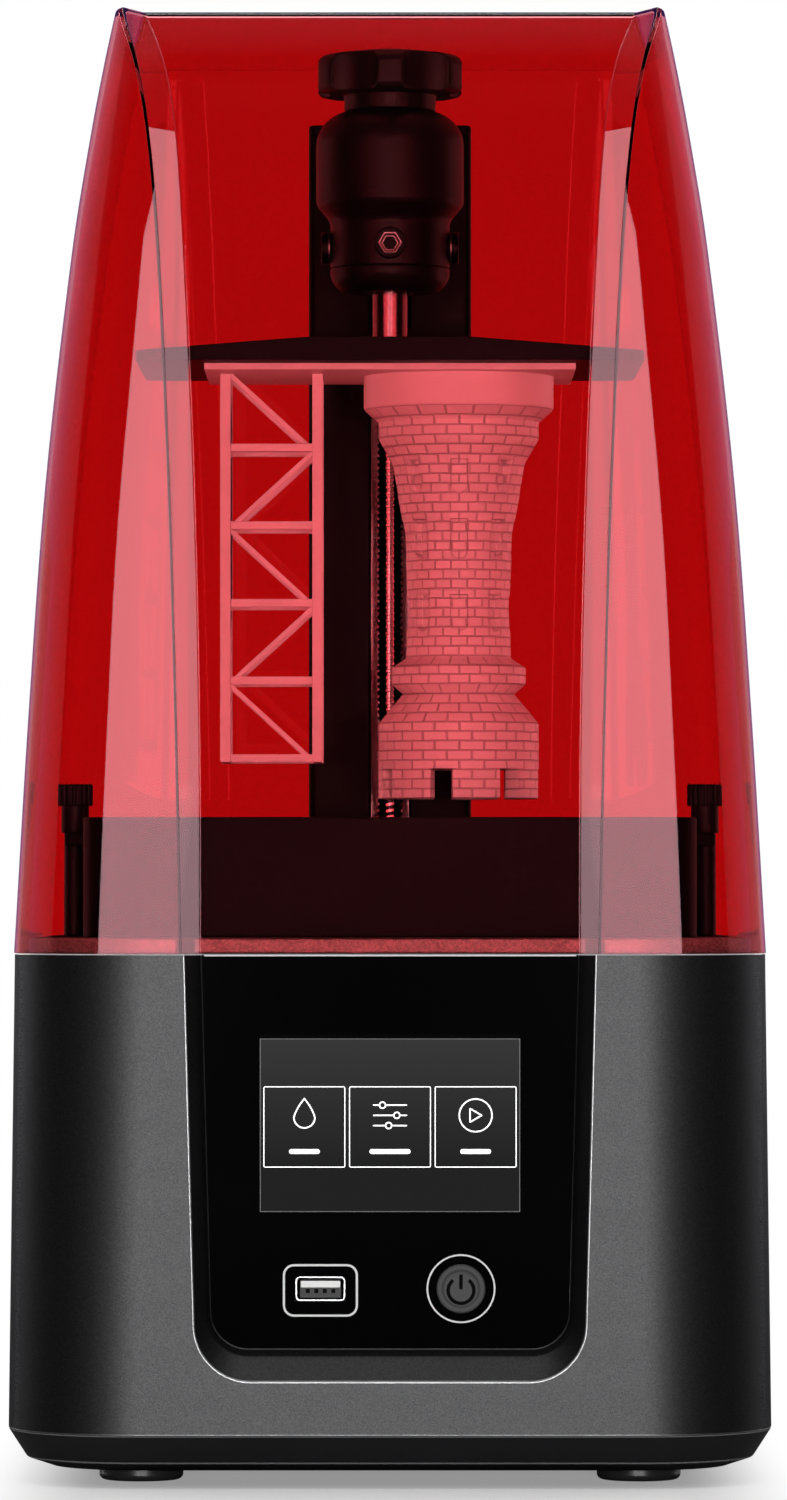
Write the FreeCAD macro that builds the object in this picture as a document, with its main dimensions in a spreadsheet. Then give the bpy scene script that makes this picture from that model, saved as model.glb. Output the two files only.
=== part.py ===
import FreeCAD, Part
import Sketcher
import math
import os
from FreeCAD import Placement, Rotation, Vector

# A desktop resin printer. Millimetres, +Z up, z = 0 under the feet, the front towards -Y, +X to the right.
doc = FreeCAD.newDocument("resin_printer")
sheet = doc.addObject("Spreadsheet::Sheet", "Sizes")


class Size:
    """A number kept together with the spreadsheet expression it comes from."""

    def __init__(self, number, text):
        self.number = number
        self.text = text

    def __add__(self, other):
        other = as_size(other)
        return Size(self.number + other.number, f"({self.text} + {other.text})")

    def __sub__(self, other):
        other = as_size(other)
        return Size(self.number - other.number, f"({self.text} - {other.text})")

    def __mul__(self, other):
        other = as_size(other)
        return Size(self.number * other.number, f"({self.text} * {other.text})")

    def __truediv__(self, other):
        other = as_size(other)
        return Size(self.number / other.number, f"({self.text} / {other.text})")

    def __neg__(self):
        return Size(-self.number, f"(0 - {self.text})")

    __radd__ = __add__
    __rmul__ = __mul__

    def __rsub__(self, other):
        return as_size(other) - self


def as_size(value):
    if isinstance(value, Size):
        return value
    number = float(value)
    if number < 0:
        return Size(number, f"(0 - {-number!r})")
    return Size(number, repr(number))


row = 0


def cell(alias, number, meaning):
    """One named size in the spreadsheet."""
    global row
    row += 1
    sheet.set(f"A{row}", meaning)
    sheet.set(f"B{row}", str(number))
    sheet.setAlias(f"B{row}", alias)
    return Size(float(number), f"Sizes.{alias}")


# Overall sizes, shared by several pieces.
body_width = cell("body_width", 227, "width and depth of the base at its widest")
body_corner = cell("body_corner", 40, "corner radius of the base")
tray_z = cell("tray_z", 4.5, "underside of the tray, top of the feet")
house_z = cell("house_z", 15.5, "lower edge of the housing, on the tray")
ledge_z = cell("ledge_z", 156.5, "top edge of the housing, where the lid stands")
ledge_width = cell("ledge_width", 223.5, "width of the housing at its top edge")
ledge_thick = cell("ledge_thick", 3.5, "thickness of the housing's top flange")
shell_wall = cell("shell_wall", 3, "wall of the housing and of the lid")
deck_z = cell("deck_z", 161, "top face of the deck")
lid_z = cell("lid_z", 438.5, "top of the lid")
work_y = cell("work_y", -12, "centre of the screen, the vat and the plate, front to back")
screw_y = cell("screw_y", 59.5, "axis of the lead screw, front to back")

PARTS = []


def keep(label, thing):
    """List an object as one of the sub-parts that are written out."""
    thing.Label = label
    PARTS.append((label, thing))
    return thing


def bind(thing, prop, value):
    thing.setExpression(prop, as_size(value).text)


def place(thing, x=0, y=0, z=0, turn=None):
    if turn is not None:
        thing.Placement = Placement(Vector(), turn)
    for axis, value in (("x", x), ("y", y), ("z", z)):
        bind(thing, f"Placement.Base.{axis}", value)
    return thing


TO_FRONT = Rotation(Vector(1, 0, 0), 90)
TO_BACK = Rotation(Vector(1, 0, 0), -90)
TO_RIGHT = Rotation(Vector(0, 1, 0), 90)
TO_LEFT = Rotation(Vector(0, 1, 0), -90)


def new_body(name, x=0, y=0, z=0, turn=None):
    return place(doc.addObject("PartDesign::Body", name), x, y, z, turn)


def origin_part(body, role):
    return next(f for f in body.Origin.OriginFeatures if f.Role == role)


def sketch_on(body, name, role, height=0):
    """A sketch on one of the body's own planes, moved along that plane's normal."""
    sketch = body.newObject("Sketcher::SketchObject", f"{body.Name}_{name}")
    sketch.AttachmentSupport = [(origin_part(body, role), "")]
    sketch.MapMode = "FlatFace"
    bind(sketch, "AttachmentOffset.Base.z", height)
    return sketch


def add_bound(sketch, constraints):
    """Add constraints; those that come with a size are bound to it."""
    first = sketch.ConstraintCount
    sketch.addConstraint([c for c, _ in constraints])
    for i, (_, value) in enumerate(constraints):
        if value is not None:
            sketch.setExpression(f"Constraints[{first + i}]", value.text)


def outline(sketch, corners):
    """A closed loop through corners (x, y) or (x, y, rounding), every one of them bound."""
    spots = [(as_size(c[0]), as_size(c[1]), as_size(c[2]) if len(c) > 2 else None) for c in corners]
    count = len(spots)
    points = [Vector(x.number, y.number, 0) for x, y, _ in spots]
    arrive, leave, arcs = [], [], []
    for i, (_, _, rounding) in enumerate(spots):
        here = points[i]
        if rounding is None:
            arrive.append(here)
            leave.append(here)
            arcs.append(None)
            continue
        back = (points[i - 1] - here).normalize()
        ahead = (points[(i + 1) % count] - here).normalize()
        half = back.getAngle(ahead) / 2
        run = rounding.number / math.tan(half)
        arrive.append(here + back * run)
        leave.append(here + ahead * run)
        middle = here + (back + ahead).normalize() * (rounding.number / math.sin(half))
        left_turn = (here - points[i - 1]).cross(points[(i + 1) % count] - here).z > 0
        start, end = (arrive[i], leave[i]) if left_turn else (leave[i], arrive[i])
        angles = [math.atan2(p.y - middle.y, p.x - middle.x) for p in (start, end)]
        circle = Part.Circle(middle, Vector(0, 0, 1), rounding.number)
        arcs.append((Part.ArcOfCircle(circle, *angles), left_turn))
    lines = [
        sketch.addGeometry(Part.LineSegment(leave[i], arrive[(i + 1) % count]), False)
        for i in range(count)
    ]
    rules = []
    for i, (x, y, rounding) in enumerate(spots):
        before, after = lines[i - 1], lines[i]
        if rounding is None:
            rules.append((Sketcher.Constraint("Coincident", before, 2, after, 1), None))
            rules.append((Sketcher.Constraint("DistanceX", after, 1, x.number), x))
            rules.append((Sketcher.Constraint("DistanceY", after, 1, y.number), y))
            continue
        arc = sketch.addGeometry(arcs[i][0], False)
        first, last = (1, 2) if arcs[i][1] else (2, 1)
        corner = sketch.addGeometry(Part.Point(points[i]), True)
        rules.append((Sketcher.Constraint("Tangent", before, 2, arc, first), None))
        rules.append((Sketcher.Constraint("Tangent", arc, last, after, 1), None))
        rules.append((Sketcher.Constraint("Radius", arc, rounding.number), rounding))
        rules.append((Sketcher.Constraint("DistanceX", corner, 1, x.number), x))
        rules.append((Sketcher.Constraint("DistanceY", corner, 1, y.number), y))
        rules.append((Sketcher.Constraint("PointOnObject", corner, 1, before), None))
        rules.append((Sketcher.Constraint("PointOnObject", corner, 1, after), None))
    add_bound(sketch, rules)


def rectangle(sketch, width, depth, rounding=None, x=0, y=0):
    low_x, high_x = as_size(x) - as_size(width) / 2, as_size(x) + as_size(width) / 2
    low_y, high_y = as_size(y) - as_size(depth) / 2, as_size(y) + as_size(depth) / 2
    tail = () if rounding is None else (rounding,)
    outline(sketch, [c + tail for c in (
        (low_x, low_y), (high_x, low_y), (high_x, high_y), (low_x, high_y))])


def hole(sketch, x, y, radius):
    x, y, radius = as_size(x), as_size(y), as_size(radius)
    middle = Vector(x.number, y.number, 0)
    ring = sketch.addGeometry(Part.Circle(middle, Vector(0, 0, 1), radius.number), False)
    add_bound(sketch, [
        (Sketcher.Constraint("DistanceX", ring, 3, x.number), x),
        (Sketcher.Constraint("DistanceY", ring, 3, y.number), y),
        (Sketcher.Constraint("Radius", ring, radius.number), radius)])


def raise_up(sketch, length, kind="Pad", both_ways=False, backwards=False):
    """Pad a sketch along its plane's normal, or pocket it the other way."""
    body = sketch.getParentGeoFeatureGroup()
    feature = body.newObject(f"PartDesign::{kind}", f"{sketch.Name}_{kind.lower()}")
    feature.Profile = sketch
    if both_ways:
        feature.SideType = "Symmetric"
    feature.Reversed = backwards
    bind(feature, "Length", length)
    return feature


def sink(sketch, depth, **more):
    return raise_up(sketch, depth, kind="Pocket", **more)


def loft(kind, sketches, ruled=False):
    body = sketches[0].getParentGeoFeatureGroup()
    feature = body.newObject(f"PartDesign::{kind}", f"{sketches[0].Name}_loft")
    feature.Profile = sketches[0]
    feature.Sections = sketches[1:]
    feature.Ruled = ruled
    return feature


def spin(body, name, corners, kind="Revolution"):
    """Turn a profile of (radius, height) corners about the body's Z axis."""
    sketch = sketch_on(body, name, "XZ_Plane")
    outline(sketch, corners)
    feature = body.newObject(f"PartDesign::{kind}", f"{sketch.Name}_turn")
    feature.Profile = sketch
    feature.ReferenceAxis = (sketch, ["V_Axis"])
    feature.Angle = 360
    return feature


def around(feature, times):
    """Repeat a feature about the body's Z axis."""
    body = feature.getParentGeoFeatureGroup()
    pattern = body.newObject("PartDesign::PolarPattern", f"{feature.Name}_ring")
    pattern.Originals = [feature]
    pattern.Axis = (origin_part(body, "Z_Axis"), [""])
    pattern.Angle = 360
    pattern.Occurrences = times
    body.Tip = pattern
    return pattern


def along(feature, axis, length, times):
    """Repeat a feature in a row along one of the body's axes."""
    body = feature.getParentGeoFeatureGroup()
    pattern = body.newObject("PartDesign::LinearPattern", f"{feature.Name}_row")
    pattern.Originals = [feature]
    pattern.Direction = (origin_part(body, axis), [""])
    bind(pattern, "Length", length)
    pattern.Occurrences = times
    body.Tip = pattern
    return pattern


def block(name, low, high):
    """A box between two bound corners."""
    box = doc.addObject("Part::Box", name)
    low = [as_size(v) for v in low]
    high = [as_size(v) for v in high]
    for prop, a, b in zip(("Length", "Width", "Height"), low, high):
        bind(box, prop, b - a)
    return place(box, *low)


def rod(name, radius, length, x=0, y=0, z=0, turn=None):
    cylinder = doc.addObject("Part::Cylinder", name)
    bind(cylinder, "Radius", radius)
    bind(cylinder, "Height", length)
    return place(cylinder, x, y, z, turn)


def ball(name, radius, x=0, y=0, z=0):
    sphere = doc.addObject("Part::Sphere", name)
    bind(sphere, "Radius", radius)
    return place(sphere, x, y, z)


def join(name, *things):
    whole = doc.addObject("Part::MultiFuse", name)
    whole.Shapes = list(things)
    return whole


def cut(name, base, tool):
    rest = doc.addObject("Part::Cut", name)
    rest.Base = base
    rest.Tool = tool
    return rest


def group(name, things):
    together = doc.addObject("Part::Compound", name)
    together.Links = list(things)
    return together


# The base tray: a shallow pan with sloping sides, with posts for the light engine's fan, the main
# board and the four screws that hold the housing, and air slots under the fan.
tray_mid_z = cell("tray_mid_z", 7, "height where the tray's side slope meets its foot slope")
tray_mid_width = cell("tray_mid_width", 216, "tray width at that height")
tray_foot_width = cell("tray_foot_width", 201, "tray width at its underside")
tray_floor = cell("tray_floor", 3, "tray floor thickness")
tray_hollow = cell("tray_hollow", 208, "tray hollow width")
fan_post_z = cell("fan_post_z", 18, "height the light engine's fan stands at")
fan_pitch = cell("fan_pitch", 71.5, "hole spacing of the light engine's fan")
board_z = cell("board_z", 13.5, "underside of the main board")
tie_x = cell("tie_x", 96, "tray screw position, sideways")
tie_y = cell("tie_y", 55, "tray screw position, front to back")

floor_z = tray_z + tray_floor
body = new_body("base_tray")
sections = []
for name, width, height in (
    ("foot", tray_foot_width, tray_z),
    ("middle", tray_mid_width, tray_mid_z),
    ("rim", body_width, house_z),
):
    sketch = sketch_on(body, name, "XY_Plane", height)
    rectangle(sketch, width, width, body_corner - (body_width - width) / 2)
    sections.append(sketch)
loft("AdditiveLoft", sections, ruled=True)
sketch = sketch_on(body, "hollow", "XY_Plane", house_z)
rectangle(sketch, tray_hollow, tray_hollow, body_corner - (body_width - tray_hollow) / 2)
sink(sketch, house_z - floor_z)
sketch = sketch_on(body, "fan_posts", "XY_Plane", floor_z)
for side in (-1, 1):
    for end in (-1, 1):
        hole(sketch, side * fan_pitch / 2, work_y + end * fan_pitch / 2, 3)
raise_up(sketch, fan_post_z - floor_z)
sketch = sketch_on(body, "board_posts", "XY_Plane", floor_z)
for x in (-96, -50):
    for y in (-41, 41):
        hole(sketch, x, y, 3)
raise_up(sketch, board_z - floor_z)
sketch = sketch_on(body, "tie_posts", "XY_Plane", floor_z)
for side in (-1, 1):
    for end in (-1, 1):
        hole(sketch, side * tie_x, end * tie_y, 4.5)
raise_up(sketch, house_z - floor_z)
sketch = sketch_on(body, "tie_holes", "XY_Plane", house_z)
for side in (-1, 1):
    for end in (-1, 1):
        hole(sketch, side * tie_x, end * tie_y, 1.6)
sink(sketch, 20)
sketch = sketch_on(body, "tie_heads", "XY_Plane", tray_z)
for side in (-1, 1):
    for end in (-1, 1):
        hole(sketch, side * tie_x, end * tie_y, 3.2)
sink(sketch, 2, backwards=True)
sketch = sketch_on(body, "air_slot", "XY_Plane", floor_z)
rectangle(sketch, 56, 3.4, 1.6, y=work_y - 28)
along(sink(sketch, 10), "Y_Axis", 56, 9)
keep("base_tray", body)

tie_screws = []
for i, (side, end) in enumerate(((-1, -1), (1, -1), (-1, 1), (1, 1))):
    screw = new_body(f"tie_screw_{i}", side * tie_x, end * tie_y, tray_z)
    spin(screw, "profile", [(0, 0.2), (3, 0.2), (3, 2), (1.5, 2), (1.5, 17), (0, 17)])
    tie_screws.append(screw)
keep("tray_screws", group("tray_screw_group", tie_screws))

# Four round rubber feet with a soft lower edge.
foot_span = cell("foot_span", 148, "spacing of the feet, both ways")
foot_radius = cell("foot_radius", 12.5, "radius of a rubber foot")
feet = []
for i, (side, end) in enumerate(((-1, -1), (1, -1), (-1, 1), (1, 1))):
    foot = new_body(f"foot_{i}", side * foot_span / 2, end * foot_span / 2)
    spin(foot, "profile", [(0, 0), (foot_radius, 0, 1.8), (foot_radius, tray_z), (0, tray_z)])
    feet.append(foot)
keep("rubber_feet", group("rubber_foot_group", feet))

# The housing: a slightly tapering square shell with a top flange, a bevelled recess in its front for
# the control panel, a thick flat at the back for the fan and the power inlet, and four screw tabs.
recess_y = cell("recess_y", 106.5, "distance of the front recess floor from the centre")
backing_y = cell("backing_y", 101, "distance of the inner face behind the recess")
recess_in_top = cell("recess_in_top", 55.6, "half width of the recess floor at the top edge")
recess_in_foot = cell("recess_in_foot", 52.3, "half width of the recess floor at its foot")
recess_in_z = cell("recess_in_z", 40.7, "foot of the recess floor")
recess_in_round = cell("recess_in_round", 11, "lower corner radius of the recess floor")
recess_out_top = cell("recess_out_top", 61.2, "half width of the recess mouth at the top edge")
recess_out_foot = cell("recess_out_foot", 56.3, "half width of the recess mouth at its foot")
recess_out_z = cell("recess_out_z", 32.5, "foot of the recess mouth")
recess_out_round = cell("recess_out_round", 16, "lower corner radius of the recess mouth")
reach = cell("reach", 1.4, "how far past the front face the recess bevel is carried on")
flange_open = cell("flange_open", 200, "opening in the top flange")
rear_flat_y = cell("rear_flat_y", 106, "inner face of the flat at the back")
display_z = cell("display_z", 107, "centre height of the touchscreen")
display_w = cell("display_w", 76.4, "touchscreen width")
display_h = cell("display_h", 52.2, "touchscreen height")
control_z = cell("control_z", 58.4, "centre height of the socket and the button")
usb_x = cell("usb_x", -20.4, "socket position")
button_x = cell("button_x", 20.8, "button position")
fan_x = cell("fan_x", -45, "rear fan position")
fan_z = cell("fan_z", 85, "rear fan height")
inlet_x = cell("inlet_x", 40, "power inlet position")
inlet_z = cell("inlet_z", 62, "power inlet height")


def mouth(sketch, half_top, half_foot, foot_z, rounding):
    """The outline of the recess: open past the top edge, round at its two lower corners."""
    top = ledge_z + 10
    outline(sketch, [
        (-half_foot, foot_z, rounding), (half_foot, foot_z, rounding),
        (half_top, top), (-half_top, top)])


body = new_body("housing")
sections = []
for name, width, height in (("foot", body_width, house_z), ("top", ledge_width, ledge_z)):
    sketch = sketch_on(body, name, "XY_Plane", height)
    rectangle(sketch, width, width, body_corner)
    sections.append(sketch)
loft("AdditiveLoft", sections, ruled=True)
sections = []
for name, width, height in (
    ("hollow_foot", body_width - 2 * shell_wall, house_z),
    ("hollow_top", ledge_width - 2 * shell_wall, ledge_z - ledge_thick),
):
    sketch = sketch_on(body, name, "XY_Plane", height)
    rectangle(sketch, width, width, body_corner - shell_wall)
    sections.append(sketch)
loft("SubtractiveLoft", sections, ruled=True)
sketch = sketch_on(body, "backing", "XZ_Plane", backing_y)
outline(sketch, [(-66, 26), (66, 26), (66, ledge_z - 1), (-66, ledge_z - 1)])
raise_up(sketch, 9.8)
sketch = sketch_on(body, "rear_flat", "XZ_Plane", -rear_flat_y)
outline(sketch, [(-84, 45), (64, 45), (64, 125), (-84, 125)])
raise_up(sketch, 5, backwards=True)
sketch = sketch_on(body, "tabs", "XY_Plane", house_z)
for side in (-1, 1):
    for end in (-1, 1):
        rectangle(sketch, 22, 16, x=side * 100.5, y=end * tie_y)
raise_up(sketch, 10)
sketch = sketch_on(body, "tab_holes", "XY_Plane", house_z)
for side in (-1, 1):
    for end in (-1, 1):
        hole(sketch, side * tie_x, end * tie_y, 1.6)
sink(sketch, 8, backwards=True)
sketch = sketch_on(body, "flange_opening", "XY_Plane", ledge_z)
outline(sketch, [
    (-flange_open / 2, -96, 28), (flange_open / 2, -96, 28),
    (flange_open / 2, flange_open / 2, 28), (-flange_open / 2, flange_open / 2, 28)])
sink(sketch, ledge_thick + 0.5)
sections = []
sketch = sketch_on(body, "recess_floor", "XZ_Plane", recess_y)
mouth(sketch, recess_in_top, recess_in_foot, recess_in_z, recess_in_round)
sections.append(sketch)
sketch = sketch_on(body, "recess_mouth", "XZ_Plane", recess_y + 6 * reach)
mouth(
    sketch,
    recess_in_top + (recess_out_top - recess_in_top) * reach,
    recess_in_foot + (recess_out_foot - recess_in_foot) * reach,
    recess_in_z + (recess_out_z - recess_in_z) * reach,
    recess_in_round + (recess_out_round - recess_in_round) * reach,
)
sections.append(sketch)
loft("SubtractiveLoft", sections, ruled=True)
sketch = sketch_on(body, "windows", "XZ_Plane", recess_y + 0.1)
rectangle(sketch, 80, 56, y=display_z)
rectangle(sketch, 15.2, 7.8, x=usb_x, y=control_z)
hole(sketch, button_x, control_z, 7.6)
sink(sketch, 8)
sketch = sketch_on(body, "vent", "XZ_Plane", -116)
rectangle(sketch, 52, 3.2, 1.5, x=fan_x, y=fan_z - 24)
along(sink(sketch, 12, backwards=True), "Z_Axis", 48, 9)
sketch = sketch_on(body, "inlet", "XZ_Plane", -116)
hole(sketch, inlet_x, inlet_z, 5.7)
sink(sketch, 12, backwards=True)
DECK_SCREWS = [(-103.7, -40), (-103.7, 40), (103.7, -40), (103.7, 40), (-45, 103.7), (45, 103.7),
               (-42, -98.6), (42, -98.6)]
sketch = sketch_on(body, "deck_screw_holes", "XY_Plane", ledge_z)
for x, y in DECK_SCREWS:
    hole(sketch, x, y, 1.4)
sink(sketch, 3)
keep("housing", body)

# The glossy control panel, its touchscreen and the screen's circuit board.
panel_thick = cell("panel_thick", 2, "thickness of the control panel")
body = new_body("front_panel")
sketch = sketch_on(body, "face", "XZ_Plane", recess_y)
outline(sketch, [
    (-recess_in_foot + 0.12, recess_in_z + 0.12, recess_in_round),
    (recess_in_foot - 0.12, recess_in_z + 0.12, recess_in_round),
    (recess_in_top - 0.4, ledge_z - 0.3), (0.4 - recess_in_top, ledge_z - 0.3)])
rectangle(sketch, display_w + 0.2, display_h + 0.2, y=display_z)
rectangle(sketch, 15, 7.6, x=usb_x, y=control_z)
hole(sketch, button_x, control_z, 7.5)
raise_up(sketch, panel_thick)
keep("front_panel", body)

body = new_body("touchscreen")
sketch = sketch_on(body, "module", "XZ_Plane", backing_y)
rectangle(sketch, 79.4, 55.4, y=display_z)
raise_up(sketch, recess_y - backing_y)
sketch = sketch_on(body, "glass", "XZ_Plane", recess_y)
rectangle(sketch, display_w, display_h, y=display_z)
raise_up(sketch, panel_thick)
keep("touchscreen", body)

body = new_body("screen_board")
sketch = sketch_on(body, "board", "XZ_Plane", backing_y)
rectangle(sketch, 90, 62, y=display_z)
raise_up(sketch, 1.6, backwards=True)
sketch = sketch_on(body, "chips", "XZ_Plane", backing_y - 1.6)
rectangle(sketch, 34, 6, y=display_z - 22)
rectangle(sketch, 14, 14, x=-18, y=display_z + 6)
rectangle(sketch, 9, 12, x=22, y=display_z + 4)
raise_up(sketch, 2.4, backwards=True)
keep("screen_board", body)

# The front socket: a sheet shell with a tongue inside, on a small board of its own.
usb_front = cell("usb_front", 108.7, "distance of the socket's mouth from the centre")
usb_back = cell("usb_back", 94, "distance of the socket's closed end")
body = new_body("usb_socket")
sketch = sketch_on(body, "shell", "XZ_Plane", usb_back)
rectangle(sketch, 14.6, 7.2, 0.8, x=usb_x, y=control_z)
raise_up(sketch, usb_front - usb_back)
sketch = sketch_on(body, "mouth", "XZ_Plane", usb_front)
rectangle(sketch, 13.4, 6, 0.5, x=usb_x, y=control_z)
sink(sketch, usb_front - usb_back - 0.6)
keep("usb_socket", body)

body = new_body("usb_tongue")
sketch = sketch_on(body, "bar", "XZ_Plane", usb_back + 0.6)
rectangle(sketch, 11.6, 1.9, x=usb_x, y=control_z + 1.2)
raise_up(sketch, 11.6)
keep("usb_tongue", body)

body = new_body("usb_board")
sketch = sketch_on(body, "board", "XY_Plane", control_z - 3.6 - 1.6)
rectangle(sketch, 26, 20, x=usb_x, y=-90.4)
raise_up(sketch, 1.6)
sketch = sketch_on(body, "plug", "XY_Plane", control_z - 3.6)
rectangle(sketch, 9, 5, x=usb_x, y=-85)
raise_up(sketch, 5)
keep("usb_board", body)

# The power button slides in the panel and is kept in by a rim; the switch behind it guides the rim.
button_radius = cell("button_radius", 7.2, "radius of the power button")
button_proud = cell("button_proud", 0.9, "how far the button stands out of the panel")
front_y = recess_y + panel_thick
body = new_body("power_button", button_x, -front_y, control_z, TO_FRONT)
spin(body, "profile", [
    (0, -9.3), (8.6, -9.3), (8.6, -7.8), (button_radius, -7.8),
    (button_radius, button_proud, 0.6), (5.6, button_proud), (5.1, button_proud - 0.3),
    (0, button_proud - 0.3)])
keep("power_button", body)

body = new_body("power_switch", button_x, -backing_y, control_z, TO_FRONT)
spin(body, "cup", [
    (0, -8), (11.5, -8), (11.5, 0), (9, 0), (9, -5.5), (2, -5.5), (2, -3.7), (0, -3.7)])
sketch = sketch_on(body, "case", "XY_Plane", -8)
rectangle(sketch, 15, 12)
raise_up(sketch, 10, backwards=True)
keep("power_switch", body)

# The power inlet at the back: a barrel with a centre pin, held by a rim against the flat.
body = new_body("dc_jack", inlet_x, rear_flat_y, inlet_z, TO_BACK)
spin(body, "barrel", [
    (0, -10), (8, -10), (8, 0), (5.5, 0), (5.5, 6.6), (3.2, 6.6), (3.2, -3.6), (1, -3.6), (1, 5), (0, 5)])
sketch = sketch_on(body, "case", "XY_Plane", -10)
rectangle(sketch, 14, 12)
raise_up(sketch, 5, backwards=True)
keep("dc_jack", body)


def fan(name, side, depth, hub, x, y, z, turn=None):
    """A square fan: a frame with a round duct and a spoked hub, and a rotor with seven tilted blades."""
    frame = new_body(f"{name}_frame", x, y, z, turn)
    sketch = sketch_on(frame, "duct", "XY_Plane")
    rectangle(sketch, side, side, 4)
    hole(sketch, 0, 0, side / 2 - 2)
    raise_up(sketch, depth)
    sketch = sketch_on(frame, "hub", "XY_Plane")
    hole(sketch, 0, 0, hub)
    raise_up(sketch, 2)
    sketch = sketch_on(frame, "spoke", "XY_Plane")
    outline(sketch, [(hub - 1, -1.5), (side / 2 - 1, -1.5), (side / 2 - 1, 1.5), (hub - 1, 1.5)])
    around(raise_up(sketch, 2), 4)
    sketch = sketch_on(frame, "hub_post", "XY_Plane", 2)
    hole(sketch, 0, 0, 2)
    raise_up(sketch, 4)
    keep(f"{name}_frame", frame)

    rotor = new_body(f"{name}_rotor", x, y, z, turn)
    spin(rotor, "cup", [
        (2.1, 2.6), (hub - 0.5, 2.6), (hub - 0.5, depth - 1.5, 1.5), (0, depth - 1.5), (0, 6.6), (2.1, 6.6)])
    sections = []
    tip = side / 2 - 5.5
    middle = (depth + 1) / 2
    for place_name, radius, chord, tilt in (("root", hub - 1.5, 0.5, 40), ("tip", tip, 0.74, 26)):
        sketch = sketch_on(rotor, f"blade_{place_name}", "YZ_Plane", radius)
        c, s = math.cos(math.radians(tilt)), math.sin(math.radians(tilt))
        run = depth * chord
        corners = []
        for a, b in ((-1, -1), (1, -1), (1, 1), (-1, 1)):
            corners.append((run * (a * c) - 0.6 * b * s, middle + run * (a * s) + 0.6 * b * c))
        outline(sketch, corners)
        sections.append(sketch)
    around(loft("AdditiveLoft", sections, ruled=True), 7)
    keep(f"{name}_rotor", rotor)


exhaust_side = cell("exhaust_side", 60, "size of the rear fan")
fan_depth = cell("fan_depth", 15, "depth of both fans")
fan("exhaust_fan", exhaust_side, fan_depth, as_size(12), fan_x, rear_flat_y - fan_depth, fan_z, TO_BACK)

# The main board beside the light engine, with its larger parts.
body = new_body("mainboard", -73, 0, board_z)
sketch = sketch_on(body, "board", "XY_Plane")
rectangle(sketch, 54, 90, 2)
raise_up(sketch, 1.6)
sketch = sketch_on(body, "chips", "XY_Plane", 1.6)
rectangle(sketch, 16, 16, x=-6, y=4)
rectangle(sketch, 9, 20, x=14, y=-22)
rectangle(sketch, 12, 8, x=-12, y=30)
raise_up(sketch, 1.8)
sketch = sketch_on(body, "plugs", "XY_Plane", 1.6)
for y in (-34, -20, -6, 8, 22):
    rectangle(sketch, 6, 10, x=-22, y=y)
raise_up(sketch, 7)
keep("mainboard", body)

# The light engine, stacked on the tray's posts: fan, finned heat sink, LED board, shroud, lens plate.
engine_side = cell("engine_side", 80, "size of the light engine's fan")
sink_z = cell("sink_z", 33, "underside of the heat sink's fins")
sink_base_z = cell("sink_base_z", 53, "underside of the heat sink's base plate")
led_z = cell("led_z", 58, "underside of the LED board")
lens_z = cell("lens_z", 152, "underside of the lens plate")
fan("led_fan", engine_side, fan_depth, as_size(16), 0, work_y, fan_post_z)

body = new_body("led_heatsink", 0, work_y)
sketch = sketch_on(body, "base", "XY_Plane", sink_base_z)
rectangle(sketch, 104, 74, 2)
raise_up(sketch, led_z - sink_base_z)
sketch = sketch_on(body, "fin", "XY_Plane", sink_z)
rectangle(sketch, 1.6, 74, x=-51)
along(raise_up(sketch, sink_base_z - sink_z + 0.5), "X_Axis", 102, 18)
keep("led_heatsink", body)

body = new_body("led_board", 0, work_y, led_z)
sketch = sketch_on(body, "board", "XY_Plane")
rectangle(sketch, 98, 68, 2)
raise_up(sketch, 1.6)
sketch = sketch_on(body, "emitter", "XY_Plane", 1.6)
rectangle(sketch, 5, 5, x=-36, y=-22)
row_of_leds = raise_up(sketch, 1)
pattern = body.newObject("PartDesign::MultiTransform", "led_grid")
pattern.Originals = [row_of_leds]
steps = []
for axis, length, times in (("X_Axis", 72, 7), ("Y_Axis", 44, 5)):
    step = body.newObject("PartDesign::LinearPattern", f"led_grid_{axis}")
    step.Direction = (origin_part(body, axis), [""])
    step.Length = length
    step.Occurrences = times
    steps.append(step)
pattern.Transformations = steps
body.Tip = pattern
keep("led_board", body)

body = new_body("light_shroud", 0, work_y)
for kind, shrink in (("AdditiveLoft", 0), ("SubtractiveLoft", 3)):
    sections = []
    for name, width, depth, height in (
        ("foot", as_size(94), as_size(64), led_z + 1.6),
        ("top", as_size(150), as_size(96), lens_z),
    ):
        sketch = sketch_on(body, f"{name}_{shrink}", "XY_Plane", height)
        rectangle(sketch, width - shrink, depth - shrink)
        sections.append(sketch)
    loft(kind, sections, ruled=True)
keep("light_shroud", body)

body = new_body("lens_plate", 0, work_y, lens_z)
sketch = sketch_on(body, "plate", "XY_Plane")
rectangle(sketch, 150, 96, 2)
raise_up(sketch, 3.5)
keep("lens_plate", body)

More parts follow.
